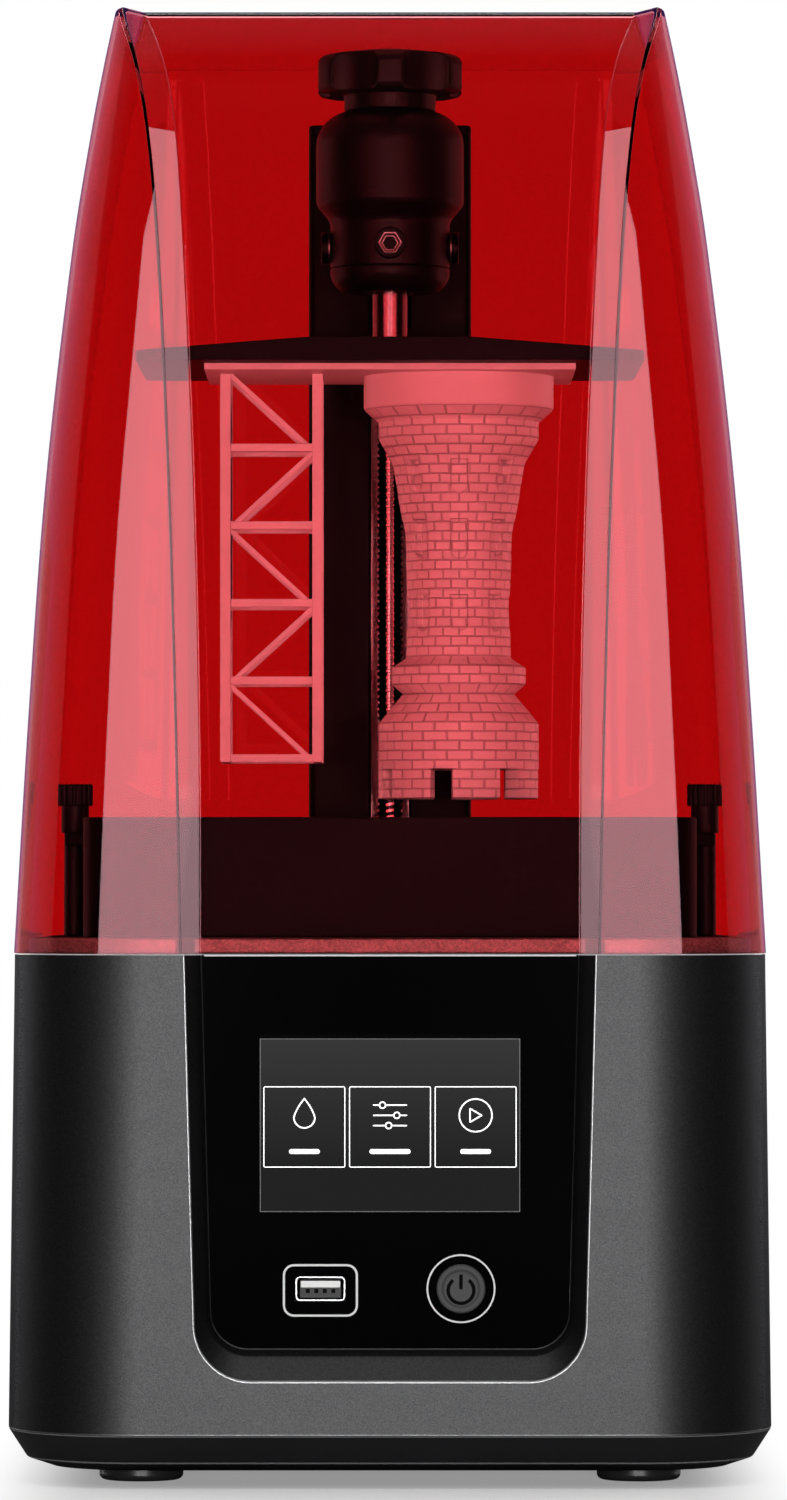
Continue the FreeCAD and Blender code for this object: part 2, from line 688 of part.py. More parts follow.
# The deck: a plinth that stands inside the lid, shaped like the lid's own foot, with a stepped window
# for the screen, the hole for the lead screw and its motor, and the thumbscrew threads.
deck_half = cell("deck_half", 107.5, "half width of the deck")
deck_corner = cell("deck_corner", 36, "corner radius of the deck")
thumb_x = cell("thumb_x", 97, "thumbscrew position")
screen_w = cell("screen_w", 160, "width of the screen's seat")
screen_d = cell("screen_d", 102, "depth of the screen's seat")
seat_z = cell("seat_z", 157.8, "height of the screen's seat")
body = new_body("top_deck")
sketch = sketch_on(body, "plinth", "XY_Plane", ledge_z)
outline(sketch, [
    (-deck_half, -deck_half, deck_corner), (-62.7, -deck_half), (-58.2, -101.5), (58.2, -101.5),
    (62.7, -deck_half), (deck_half, -deck_half, deck_corner), (deck_half, deck_half, deck_corner),
    (-deck_half, deck_half, deck_corner)])
raise_up(sketch, deck_z - ledge_z)
sketch = sketch_on(body, "seat", "XY_Plane", deck_z)
rectangle(sketch, screen_w, screen_d, 2, y=work_y)
sink(sketch, deck_z - seat_z)
sketch = sketch_on(body, "window", "XY_Plane", deck_z)
rectangle(sketch, 146, 92, 2, y=work_y)
sink(sketch, 10)
sketch = sketch_on(body, "holes", "XY_Plane", deck_z)
hole(sketch, 0, screw_y, 11.2)
for side in (-1, 1):
    hole(sketch, side * thumb_x, work_y, 2.6)
for x, y in DECK_SCREWS:
    hole(sketch, x, y, 1.4)
sink(sketch, 10)
sketch = sketch_on(body, "head_seats", "XY_Plane", deck_z)
for x, y in DECK_SCREWS:
    hole(sketch, x, y, 2.7)
sink(sketch, 1.8)
keep("top_deck", body)

screws = []
for i, (x, y) in enumerate(DECK_SCREWS):
    screw = new_body(f"deck_screw_{i}", x, y, deck_z)
    spin(screw, "profile", [(0, -7.2), (1.3, -7.2), (1.3, -1.8), (2.6, -1.8), (2.6, -0.1), (0, -0.1)])
    socket = sketch_on(screw, "socket", "XY_Plane", -0.1)
    outline(socket, [
        (1.3 * math.cos(math.radians(a)), 1.3 * math.sin(math.radians(a))) for a in range(0, 360, 60)])
    sink(socket, 1)
    screws.append(screw)
keep("deck_screws", group("deck_screw_group", screws))

for name, low, high in (("lcd_panel", seat_z, seat_z + 1.8), ("screen_glass", seat_z + 1.8, deck_z)):
    body = new_body(name, 0, work_y)
    sketch = sketch_on(body, "sheet", "XY_Plane", low)
    rectangle(sketch, screen_w - 0.6, screen_d - 0.6, 2)
    raise_up(sketch, high - low)
    keep(name, body)

# The Z motor under the deck, with its pilot ring in the deck and a bore for the screw's end.
motor_z = cell("motor_z", 122.5, "underside of the Z motor")
body = new_body("z_motor", 0, screw_y)
sketch = sketch_on(body, "case", "XY_Plane", motor_z)
rectangle(sketch, 42.3, 42.3, 4)
raise_up(sketch, ledge_z - motor_z)
sketch = sketch_on(body, "pilot", "XY_Plane", ledge_z)
hole(sketch, 0, 0, 11)
raise_up(sketch, 2)
sketch = sketch_on(body, "bore", "XY_Plane", ledge_z + 2)
hole(sketch, 0, 0, 4.4)
sink(sketch, 14)
keep("z_motor", body)

# The column: a channel with a front slot for the arm, closed by a cap that carries the screw's bearing.
column_w = cell("column_w", 51, "column width")
column_front = cell("column_front", 48, "column front face")
column_back = cell("column_back", 86, "column back face")
column_wall = cell("column_wall", 3.5, "column wall")
column_top = cell("column_top", 412, "column top")
slot_half = cell("slot_half", 6.5, "half width of the column's slot")
cap_z = cell("cap_z", 403, "underside of the cap's plug")
body = new_body("column")
sketch = sketch_on(body, "section", "XY_Plane", deck_z)
half = column_w / 2
inner_half = half - column_wall
outline(sketch, [
    (-half, column_front, 2.5), (-slot_half, column_front), (-slot_half, column_front + column_wall),
    (-inner_half, column_front + column_wall), (-inner_half, column_back - column_wall),
    (inner_half, column_back - column_wall), (inner_half, column_front + column_wall),
    (slot_half, column_front + column_wall), (slot_half, column_front), (half, column_front, 2.5),
    (half, column_back, 2.5), (-half, column_back, 2.5)])
raise_up(sketch, column_top - deck_z)
keep("column", body)

body = new_body("column_cap")
sketch = sketch_on(body, "plug", "XY_Plane", cap_z)
outline(sketch, [
    (0.2 - inner_half, column_front + column_wall + 0.2), (inner_half - 0.2, column_front + column_wall + 0.2),
    (inner_half - 0.2, column_back - column_wall - 0.2), (0.2 - inner_half, column_back - column_wall - 0.2)])
raise_up(sketch, column_top - cap_z)
sketch = sketch_on(body, "lid", "XY_Plane", column_top)
outline(sketch, [
    (-half, column_front, 2.5), (half, column_front, 2.5), (half, column_back, 2.5), (-half, column_back, 2.5)])
raise_up(sketch, 3.5)
sketch = sketch_on(body, "bearing_seat", "XY_Plane", cap_z)
hole(sketch, 0, screw_y, 7.05)
sink(sketch, 6.6, backwards=True)
keep("column_cap", body)

body = new_body("screw_bearing", 0, screw_y, cap_z)
spin(body, "ring", [(4.08, 0.2), (7, 0.2), (7, 6), (4.08, 6)])
keep("screw_bearing", body)

# The lead screw, the rail and the block that slides on it.
screw_radius = cell("screw_radius", 4, "lead screw radius")
screw_low = cell("screw_low", 146, "lower end of the lead screw")
screw_high = cell("screw_high", 408.8, "upper end of the lead screw")
body = new_body("lead_screw", 0, screw_y)
spin(body, "profile", [
    (0, screw_low), (screw_radius - 0.6, screw_low), (screw_radius, screw_low + 0.6),
    (screw_radius, screw_high - 0.6), (screw_radius - 0.6, screw_high), (0, screw_high)])
keep("lead_screw", body)

rail_front = cell("rail_front", 74.5, "front face of the rail")
rail_low = cell("rail_low", 163, "lower end of the rail")
rail_high = cell("rail_high", 401, "upper end of the rail")
rail_back = column_back - column_wall
body = new_body("linear_rail")
sketch = sketch_on(body, "section", "XY_Plane", rail_low)
outline(sketch, [
    (-6, rail_front), (6, rail_front), (6, rail_front + 2), (5, rail_front + 3), (6, rail_front + 4),
    (6, rail_back), (-6, rail_back), (-6, rail_front + 4), (-5, rail_front + 3), (-6, rail_front + 2)])
raise_up(sketch, rail_high - rail_low)
sketch = sketch_on(body, "bolt_head", "XZ_Plane", -rail_front)
hole(sketch, 0, rail_low + 19, 3.1)
along(sink(sketch, 4.5), "Z_Axis", 200, 6)
keep("linear_rail", body)

bolts = []
for i in range(6):
    bolts.append(rod(f"rail_bolt_{i}", 3, 3.4, 0, rail_front + 1.1, rail_low + 19 + 40 * i, TO_BACK))
keep("rail_screws", group("rail_screw_group", bolts))

block_z = cell("block_z", 351.8, "underside of the sliding block at rest")
block_h = cell("block_h", 45.4, "length of the sliding block")
arm_face = cell("arm_face", 69.5, "face between the arm and the block")
body = new_body("carriage_block")
sketch = sketch_on(body, "section", "XY_Plane", block_z)
outline(sketch, [
    (-13.5, arm_face, 1), (13.5, arm_face, 1), (13.5, arm_face + 10, 0.8), (6.4, arm_face + 10),
    (6.4, rail_front + 4.2), (5.5, rail_front + 3.4), (5.5, rail_front + 2.6), (6.4, rail_front + 1.8),
    (6.4, rail_front - 0.4), (-6.4, rail_front - 0.4), (-6.4, rail_front + 1.8), (-5.5, rail_front + 2.6),
    (-5.5, rail_front + 3.4), (-6.4, rail_front + 4.2), (-6.4, arm_face + 10), (-13.5, arm_face + 10, 0.8)])
raise_up(sketch, block_h)
ARM_SCREWS = [(-11.4, 8), (11.4, 8), (-11.4, 37), (11.4, 37)]
sketch = sketch_on(body, "threads", "XZ_Plane", -arm_face)
for x, z in ARM_SCREWS:
    hole(sketch, x, block_z + z, 1.5)
sink(sketch, 5)
keep("carriage_block", body)

# The arm: a plate on the block, a boss for the nut, a neck through the slot and a tongue for the platform.
arm_low = cell("arm_low", 352, "underside of the arm's plate at rest")
arm_high = cell("arm_high", 397, "top of the arm at rest")
tongue_z = cell("tongue_z", 384, "underside of the tongue at rest")
tongue_half = cell("tongue_half", 11, "half width of the tongue")
tongue_front = cell("tongue_front", -25, "front end of the tongue")
body = new_body("z_arm")
sketch = sketch_on(body, "plate", "XZ_Plane", -arm_face)
outline(sketch, [(-15, arm_low), (15, arm_low), (15, arm_high), (-15, arm_high)])
raise_up(sketch, 5)
sketch = sketch_on(body, "boss", "XY_Plane", arm_low)
hole(sketch, 0, screw_y, 8)
raise_up(sketch, arm_high - arm_low)
sketch = sketch_on(body, "neck", "YZ_Plane")
outline(sketch, [
    (14, tongue_z), (40, tongue_z), (52, tongue_z - 12), (52, arm_low), (66, arm_low), (66, arm_high),
    (14, arm_high)])
raise_up(sketch, 11, both_ways=True)
sketch = sketch_on(body, "tongue", "XY_Plane", tongue_z)
outline(sketch, [
    (-tongue_half, tongue_front, 2), (tongue_half, tongue_front, 2), (tongue_half, 16), (-tongue_half, 16)])
raise_up(sketch, arm_high - tongue_z)
sketch = sketch_on(body, "nut_bore", "XY_Plane", arm_high)
hole(sketch, 0, screw_y, 5.2)
sink(sketch, arm_high - arm_low + 1)
sketch = sketch_on(body, "screw_holes", "XZ_Plane", 5 - arm_face)
for x, z in ARM_SCREWS:
    hole(sketch, x, block_z + z, 1.6)
sink(sketch, 6)
keep("z_arm", body)

body = new_body("screw_nut", 0, screw_y, arm_low)
spin(body, "profile", [(4.2, -3.5), (7.4, -3.5), (7.4, 0), (5.1, 0), (5.1, 30), (4.2, 30)])
keep("screw_nut", body)

screws = []
for i, (x, z) in enumerate(ARM_SCREWS):
    screw = new_body(f"arm_screw_{i}", x, arm_face - 5, block_z + z, TO_FRONT)
    spin(screw, "profile", [(0, -9), (1.4, -9), (1.4, 0), (2.75, 0), (2.75, 3, 0.5), (0, 3)])
    screws.append(screw)
keep("arm_screws", group("arm_screw_group", screws))

# The endstop: a fork-shaped light gate on the deck and the flag that drops into it.
body = new_body("endstop_sensor")
sketch = sketch_on(body, "case", "XY_Plane", deck_z)
outline(sketch, [(11, 62), (20.2, 62), (20.2, 72), (11, 72)])
raise_up(sketch, 15)
sketch = sketch_on(body, "gate", "XY_Plane", deck_z + 15)
outline(sketch, [(14.4, 61), (16.8, 61), (16.8, 73), (14.4, 73)])
sink(sketch, 10.5)
keep("endstop_sensor", body)

body = new_body("endstop_flag")
sketch = sketch_on(body, "blade", "YZ_Plane", 15)
outline(sketch, [(64.5, 338), (69.5, 338), (69.5, 372), (64.5, 372)])
raise_up(sketch, 1.2)
keep("endstop_flag", body)

# The vat: a thick frame with a screw ear at each side, a clear film and the ring that clamps it.
vat_w = cell("vat_w", 184, "vat width without its ears")
vat_d = cell("vat_d", 113, "vat depth")
vat_top = cell("vat_top", 197, "top edge of the vat")
vat_in_w = cell("vat_in_w", 164, "vat basin width")
vat_in_d = cell("vat_in_d", 99, "vat basin depth")
ring_z = cell("ring_z", 161.2, "underside of the film ring")
film_z = cell("film_z", 162.2, "underside of the film")
film_thick = cell("film_thick", 0.4, "film thickness, drawn thicker than the real 0.15")
ear_low = cell("ear_low", 188.5, "underside of the ears")
ear_high = cell("ear_high", 192.6, "top of the ears")
RING_SCREWS = [(-85.5, -28), (-85.5, 28), (85.5, -28), (85.5, 28)]
RING_SCREWS += [(x, side * 51.7) for x in (-62, -21, 21, 62) for side in (-1, 1)]
body = new_body("vat_frame", 0, work_y)
sketch = sketch_on(body, "wall", "XY_Plane", deck_z)
rectangle(sketch, vat_w, vat_d, 9)
raise_up(sketch, vat_top - deck_z)
sketch = sketch_on(body, "basin", "XY_Plane", vat_top)
rectangle(sketch, vat_in_w, vat_in_d, 6)
sink(sketch, vat_top - deck_z + 1)
sketch = sketch_on(body, "ring_seat", "XY_Plane", deck_z)
rectangle(sketch, vat_in_w + 14.4, vat_in_d + 9.4, 6)
sink(sketch, film_z + film_thick - deck_z, backwards=True)
for side in (-1, 1):
    sketch = sketch_on(body, f"ear_{'left' if side < 0 else 'right'}", "XY_Plane", ear_low)
    inner, slot, outer = side * 91, side * 93, side * 100
    corners = [
        (inner, -9), (outer, -9, 2), (outer, -3.9), (slot, -3.9), (slot, 3.9), (outer, 3.9), (outer, 9, 2),
        (inner, 9)]
    outline(sketch, corners if side > 0 else corners[::-1])
    raise_up(sketch, ear_high - ear_low)
sketch = sketch_on(body, "ring_threads", "XY_Plane", film_z + film_thick)
for x, y in RING_SCREWS:
    hole(sketch, x, y, 1.3)
sink(sketch, 5, backwards=True)
keep("vat_frame", body)

body = new_body("vat_film", 0, work_y, film_z)
sketch = sketch_on(body, "sheet", "XY_Plane")
rectangle(sketch, vat_in_w + 14, vat_in_d + 9, 5.8)
for x, y in RING_SCREWS:
    hole(sketch, x, y, 1.5)
raise_up(sketch, film_thick)
keep("vat_film", body)

body = new_body("vat_film_ring", 0, work_y, ring_z)
sketch = sketch_on(body, "frame", "XY_Plane")
rectangle(sketch, vat_in_w + 14, vat_in_d + 9, 5.8)
rectangle(sketch, vat_in_w, vat_in_d, 6)
for x, y in RING_SCREWS:
    hole(sketch, x, y, 1.5)
raise_up(sketch, film_z - ring_z)
keep("vat_film_ring", body)

pins = []
for i, (x, y) in enumerate(RING_SCREWS):
    pins.append(rod(f"ring_screw_{i}", 1.2, 5, x, work_y + y, ring_z))
keep("vat_ring_screws", group("vat_ring_screw_group", pins))

# Two thumbscrews hold the vat's ears: fluted head, collar, shank and thread.
thumb_head = cell("thumb_head", 5.75, "radius of a thumbscrew head")
thumb_collar = cell("thumb_collar", 4.5, "radius of the collar under the head")
thumb_shank = cell("thumb_shank", 3.5, "radius of the shank in the ear's slot")
thumb_top = cell("thumb_top", 207.5, "top of a thumbscrew")
for name, side in (("thumbscrew_left", -1), ("thumbscrew_right", 1)):
    body = new_body(name, side * thumb_x, work_y)
    spin(body, "profile", [
        (0, 154), (2.5, 154), (2.5, deck_z + 0.4), (thumb_shank, deck_z + 0.4),
        (thumb_shank, ear_high + 0.05), (thumb_collar, ear_high + 0.05), (thumb_collar, thumb_top - 6.5),
        (thumb_head, thumb_top - 6.5, 0.6), (thumb_head, thumb_top, 0.8), (0, thumb_top)])
    sketch = sketch_on(body, "flute", "XY_Plane", thumb_top)
    hole(sketch, thumb_head + 0.35, 0, 0.75)
    around(sink(sketch, 6.5), 18)
    keep(name, body)

# The platform's bracket: a bottle-shaped casting with a slot for the arm's tongue and, below, half of a
# ball socket; a ring screwed under it holds the ball.
joint_z = cell("joint_z", 369.5, "centre of the ball joint at rest")
bracket_top = cell("bracket_top", 413, "top of the bracket at rest")
bracket_radius = cell("bracket_radius", 22.5, "radius of the bracket's upper part")
socket_radius = cell("socket_radius", 18.2, "radius of the bracket's lower part")
split_z = cell("split_z", 365, "face between the bracket and its ring")
bracket_low = cell("bracket_low", 357.5, "underside of the ring")
seat_radius = cell("seat_radius", 12, "outer radius of the ball seat")
ball_radius = cell("ball_radius", 9, "radius of the ball")
body = new_body("platform_bracket", 0, work_y)
spin(body, "profile", [
    (0, split_z), (socket_radius, split_z), (socket_radius, 379.5, 4), (bracket_radius, 384.5, 4),
    (bracket_radius, bracket_top, 10.5), (0, bracket_top)])
sketch = sketch_on(body, "tongue_slot", "XY_Plane", arm_high + 0.1)
outline(sketch, [
    (-tongue_half - 0.2, tongue_front - work_y - 0.3), (tongue_half + 0.2, tongue_front - work_y - 0.3),
    (tongue_half + 0.2, 30), (-tongue_half - 0.2, 30)])
sink(sketch, arm_high - tongue_z + 0.2)
sketch = sketch_on(body, "stud_hole", "XY_Plane", bracket_top)
hole(sketch, 0, 0, 4.3)
sink(sketch, bracket_top - arm_high)
CLAMPS = (("front", 0, -1, TO_FRONT), ("left", -1, 0, TO_LEFT), ("right", 1, 0, TO_RIGHT))
for name, role, times in (("front_hole", "XZ_Plane", 1), ("side_hole", "YZ_Plane", 2)):
    sketch = sketch_on(body, name, role)
    hole(sketch, 0, joint_z + 2, 2.6)
    sink(sketch, 50 if times == 2 else 25, both_ways=times == 2, backwards=times == 1)
dome = body.newObject("PartDesign::SubtractiveSphere", "bracket_socket")
bind(dome, "Radius", seat_radius + 0.2)
bind(dome, "Placement.Base.z", joint_z)
keep("platform_bracket", body)

body = new_body("ball_retainer", 0, work_y)
spin(body, "profile", [
    (7, bracket_low), (socket_radius, bracket_low, 6.5), (socket_radius, split_z), (7, split_z)])
dome = body.newObject("PartDesign::SubtractiveSphere", "retainer_socket")
bind(dome, "Radius", seat_radius + 0.2)
bind(dome, "Placement.Base.z", joint_z)
keep("ball_retainer", body)

screws = []
for i, (name, dx, dy, turn) in enumerate(CLAMPS):
    far = socket_radius - 0.8
    screw = new_body(f"clamp_screw_{name}", dx * far, work_y + dy * far, joint_z + 2, turn)
    spin(screw, "profile", [
        (0, -4.6), (2.5, -4.6), (2.5, 0.8), (4.85, 0.8), (4.85, 3.6, 0.5), (0, 3.6)])
    socket = sketch_on(screw, "socket", "XY_Plane", 3.6)
    outline(socket, [
        (2.9 * math.cos(math.radians(a)), 2.9 * math.sin(math.radians(a))) for a in range(0, 360, 60)])
    sink(socket, 2)
    screws.append(screw)
keep("clamp_screws", group("clamp_screw_group", screws))

# The ball seat turns in the bracket one way and the ball stud turns in the seat the other way.
seat_half = cell("seat_half", 5.5, "half height of the ball seat")
body = new_body("ball_seat", 0, work_y, joint_z)
ball_part = body.newObject("PartDesign::AdditiveSphere", "seat_outer")
bind(ball_part, "Radius", seat_radius)
for name, height, backwards in (("upper", seat_half, True), ("lower", -seat_half, False)):
    sketch = sketch_on(body, f"trim_{name}", "XY_Plane", height)
    rectangle(sketch, 40, 40)
    sink(sketch, 20, backwards=backwards)
hollow = body.newObject("PartDesign::SubtractiveSphere", "seat_hollow")
bind(hollow, "Radius", ball_radius + 0.2)
keep("ball_seat", body)

# The build plate: a flat underside and a roof-shaped top, hung from the ball stud.
plate_w = cell("plate_w", 153, "build plate width")
plate_d = cell("plate_d", 94, "build plate depth")
plate_z = cell("plate_z", 334, "underside of the build plate at rest")
plate_edge = cell("plate_edge", 3, "thickness of the plate at its ends")
plate_mid = cell("plate_mid", 7, "thickness of the plate under the stem")
stem_radius = cell("stem_radius", 5.3, "radius of the polished stem")
body = new_body("ball_stud", 0, work_y, joint_z)
ball_part = body.newObject("PartDesign::AdditiveSphere", "stud_ball")
bind(ball_part, "Radius", ball_radius)
spin(body, "stem", [
    (0, plate_z + 3 - joint_z), (3.5, plate_z + 3 - joint_z), (3.5, plate_z + plate_mid - joint_z),
    (stem_radius, plate_z + plate_mid - joint_z), (stem_radius, -6), (0, -6)])
keep("ball_stud", body)

body = new_body("build_plate", 0, work_y, plate_z)
sketch = sketch_on(body, "section", "XZ_Plane")
outline(sketch, [
    (-plate_w / 2, 0), (plate_w / 2, 0), (plate_w / 2, plate_edge), (24, plate_mid), (-24, plate_mid),
    (-plate_w / 2, plate_edge)])
raise_up(sketch, plate_d, both_ways=True)
sketch = sketch_on(body, "stem_hole", "XY_Plane", plate_mid)
hole(sketch, 0, 0, 3.6)
sink(sketch, plate_mid - 2.9)
doc.recompute()
squared = body.Tip
corner_edges = [
    f"Edge{i + 1}" for i, e in enumerate(squared.Shape.Edges)
    if len(e.Vertexes) == 2 and abs(e.Vertexes[0].Point.z - e.Vertexes[1].Point.z) > 2
    and abs(abs(e.CenterOfMass.x) - plate_w.number / 2) < 0.1]
rounding = body.newObject("PartDesign::Fillet", "plate_corners")
rounding.Base = (squared, corner_edges)
rounding.Radius = 4
keep("build_plate", body)

# The star knob and its stud, which press the platform onto the arm.
knob_radius = cell("knob_radius", 23.5, "radius over the knob's lobes")
knob_low = cell("knob_low", 418, "underside of the knob's lobes")
knob_top = cell("knob_top", 431.6, "top of the knob")
body = new_body("knob", 0, work_y)
spin(body, "profile", [
    (0, bracket_top + 0.1), (14, bracket_top + 0.1), (14, knob_low), (knob_radius, knob_low, 2.5),
    (knob_radius, knob_top - 2.2, 4), (8, knob_top), (0, knob_top)])
sketch = sketch_on(body, "scallop", "XY_Plane", knob_top + 1)
hole(sketch, knob_radius + 5.5, 0, 10.5)
around(sink(sketch, knob_top - knob_low + 2), 6)
sketch = sketch_on(body, "stud_bore", "XY_Plane", bracket_top)
hole(sketch, 0, 0, 4.05)
sink(sketch, 12, backwards=True)
keep("knob", body)
keep("knob_stud", rod("knob_stud", 4, 27.8, 0, work_y, arm_high + 0.05))

# The lid: one convex moulding, lofted through seven rounded rectangles, with a curved bevelled recess down
# its front. The same loft set in by the wall, with the recess carried inwards, hollows it out.
lid_foot_half = cell("lid_foot_half", 112, "half width of the lid at its foot")
LEVELS = []
for i, (share, half_w, front, back, corner, depth, inner, lean) in enumerate((
    (0.000, 112.0, 112.0, 112.0, 40.0, 6.0, 55.8, 0.87),
    (0.250, 107.8, 108.4, 110.2, 37.0, 7.0, 56.2, 0.90),
    (0.500, 102.7, 103.0, 107.4, 33.0, 8.4, 58.0, 0.80),
    (0.750, 94.8, 94.0, 103.0, 27.0, 11.0, 61.3, 0.63),
    (0.875, 89.2, 87.6, 99.6, 21.5, 14.5, 63.9, 0.54),
    (0.950, 85.2, 83.2, 97.0, 17.5, 18.5, 67.6, 0.46),
    (1.000, 82.2, 80.0, 95.0, 15.0, 22.0, 73.0, 0.42),
)):
    LEVELS.append({
        "height": ledge_z + (lid_z - ledge_z) * share,
        "half": cell(f"lid_half_{i}", half_w, f"lid half width, level {i}"),
        "front": cell(f"lid_front_{i}", front, f"lid front, level {i}"),
        "back": cell(f"lid_back_{i}", back, f"lid back, level {i}"),
        "corner": cell(f"lid_corner_{i}", corner, f"lid corner radius, level {i}"),
        "depth": cell(f"lid_recess_{i}", depth, f"depth of the lid's front recess, level {i}"),
        "inner": cell(f"lid_recess_half_{i}", inner, f"half width of the recess floor, level {i}"),
        "lean": cell(f"lid_lean_{i}", lean, f"sideways run of the recess bevel for its depth, level {i}")})
LID_TOP = len(LEVELS) - 1


def lid_solid(name, inset, top_drop):
    """The lid's outer or inner shape: a loft with the front recess taken out of it."""
    body = new_body(name)
    sections = []
    for i, level in enumerate(LEVELS):
        height = level["height"] - (top_drop if i == LID_TOP else 0)
        sketch = sketch_on(body, f"level_{i}", "XY_Plane", height)
        half_w, corner = level["half"] - inset, level["corner"] - inset
        outline(sketch, [
            (-half_w, inset - level["front"], corner), (half_w, inset - level["front"], corner),
            (half_w, level["back"] - inset, corner), (-half_w, level["back"] - inset, corner)])
        sections.append(sketch)
    loft("AdditiveLoft", sections)
    sections = []
    for i, level in enumerate(LEVELS):
        height = level["height"] + (1 if i == LID_TOP else 0) - (0.5 if i == 0 else 0)
        sketch = sketch_on(body, f"recess_{i}", "XY_Plane", height)
        floor_y = level["depth"] - level["front"] + inset
        near = level["inner"] + inset * 0.6
        far = near + (level["depth"] + inset + 14) * level["lean"]
        outline(sketch, [
            (-far, -level["front"] - 14), (far, -level["front"] - 14), (near, floor_y), (-near, floor_y)])
        sections.append(sketch)
    loft("SubtractiveLoft", sections)
    return body


lid_outside = lid_solid("lid_outside", 0, 0)
lid_inside = lid_solid("lid_inside", shell_wall, shell_wall)
keep("lid", cut("lid_shell", lid_outside, lid_inside))

# A sample print under the plate: a raft with a round tower and a lattice mast hanging from it.
raft_z = cell("raft_z", 332, "underside of the raft")
tower_x = cell("tower_x", 21, "tower position")
mast_x = cell("mast_x", -36, "mast position")
mast_half = cell("mast_half", 14, "half width of the mast")
mast_low = cell("mast_low", 214, "lower end of the mast")
raft = block("raft", (-56, work_y - 34, raft_z), (56, work_y + 34, plate_z))
tower = new_body("tower", tower_x, work_y)
spin(tower, "profile", [
    (0, raft_z), (29, raft_z), (29, 322, 2), (24.5, 318), (24.5, 313), (20.5, 306), (16.5, 284), (15.5, 262),
    (16, 246), (20.5, 243), (20.5, 238), (17, 235), (24.5, 226), (24.5, 203), (18.5, 203), (18.5, 214), (0, 214)])
sketch = sketch_on(tower, "crenel", "XY_Plane", 202)
outline(sketch, [(14, -3.4), (30, -3.4), (30, 3.4), (14, 3.4)])
around(sink(sketch, 10, backwards=True), 7)
for row, low, high, deep in ((0, 254, 265, 13), (1, 276, 288, 13.5), (2, 296, 306, 16.5)):
    sketch = sketch_on(tower, f"windows_{row}", "YZ_Plane", 26)
    outline(sketch, [(-2.6, low, 2.5), (2.6, low, 2.5), (2.6, high), (-2.6, high)])
    around(sink(sketch, 26 - deep), 8)
pieces = [raft, tower]
levels = 5
step = (raft_z - mast_low) / levels
for i, (side, end) in enumerate(((-1, -1), (1, -1), (1, 1), (-1, 1))):
    x, y = mast_x + side * mast_half, work_y + end * mast_half
    pieces.append(block(f"mast_post_{i}", (x - 1.6, y - 1.6, mast_low), (x + 1.6, y + 1.6, raft_z + 0.5)))
for level in range(levels):
    low = mast_low + step * level
    for i, end in enumerate((-1, 1)):
        y = work_y + end * mast_half
        pieces.append(block(
            f"mast_rung_x_{level}_{i}", (mast_x - mast_half, y - 1.2, low), (mast_x + mast_half, y + 1.2, low + 2.4)))
        x = mast_x + end * mast_half
        pieces.append(block(
            f"mast_rung_y_{level}_{i}", (x - 1.2, work_y - mast_half, low), (x + 1.2, work_y + mast_half, low + 2.4)))
        brace = new_body(f"mast_brace_x_{level}_{i}", mast_x, y)
        sketch = sketch_on(brace, "bar", "XZ_Plane")
        way = 1 if level % 2 else -1
        outline(sketch, [
            (-way * mast_half, low), (way * (2.2 - mast_half), low), (way * mast_half, low + step),
            (way * (mast_half - 2.2), low + step)][::way])
        raise_up(sketch, 2, both_ways=True)
        pieces.append(brace)
keep("sample_print", join("sample_print_shape", *pieces))

doc.recompute()
broken = [thing.Name for thing in doc.Objects if "Invalid" in thing.State or "Error" in thing.State]
if broken:
    raise RuntimeError(f"not built: {broken}")
os.makedirs("parts", exist_ok=True)
for label, thing in PARTS:
    shape = thing.Shape
    if shape.isNull() or not shape.isValid() or not shape.Solids:
        raise RuntimeError(f"{label}: no valid solid")
    shape.exportStep(f"parts/{label}.step")
    print(label, len(shape.Solids), round(shape.Volume / 1000, 2), [round(v, 1) for v in (
        shape.BoundBox.XMin, shape.BoundBox.XMax, shape.BoundBox.YMin, shape.BoundBox.YMax,
        shape.BoundBox.ZMin, shape.BoundBox.ZMax)])
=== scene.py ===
import math

import bmesh
import bpy
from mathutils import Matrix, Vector


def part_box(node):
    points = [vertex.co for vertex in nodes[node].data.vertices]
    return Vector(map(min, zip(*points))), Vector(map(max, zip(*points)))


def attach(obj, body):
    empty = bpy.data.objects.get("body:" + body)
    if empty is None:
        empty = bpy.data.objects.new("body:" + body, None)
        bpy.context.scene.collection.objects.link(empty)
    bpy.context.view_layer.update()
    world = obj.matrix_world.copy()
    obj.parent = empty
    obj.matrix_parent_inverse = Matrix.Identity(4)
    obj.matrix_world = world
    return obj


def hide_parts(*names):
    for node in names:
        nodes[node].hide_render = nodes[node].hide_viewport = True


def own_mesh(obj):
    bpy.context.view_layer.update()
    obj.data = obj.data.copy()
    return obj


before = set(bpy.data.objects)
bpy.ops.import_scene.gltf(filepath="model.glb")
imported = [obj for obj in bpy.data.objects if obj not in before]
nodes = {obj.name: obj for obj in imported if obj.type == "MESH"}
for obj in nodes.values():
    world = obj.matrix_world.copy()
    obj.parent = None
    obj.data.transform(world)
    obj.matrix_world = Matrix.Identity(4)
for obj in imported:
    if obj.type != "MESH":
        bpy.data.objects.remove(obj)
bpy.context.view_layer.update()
scene = bpy.context.scene
scene.view_settings.view_transform = "Standard"
bpy.ops.object.select_all(action="DESELECT")
MM = 0.001

# The base tray: a shallow pan moulded in black plastic with sloping sides, on four rubber feet that are
# stuck in place. Four screws come up through it and hold the housing.


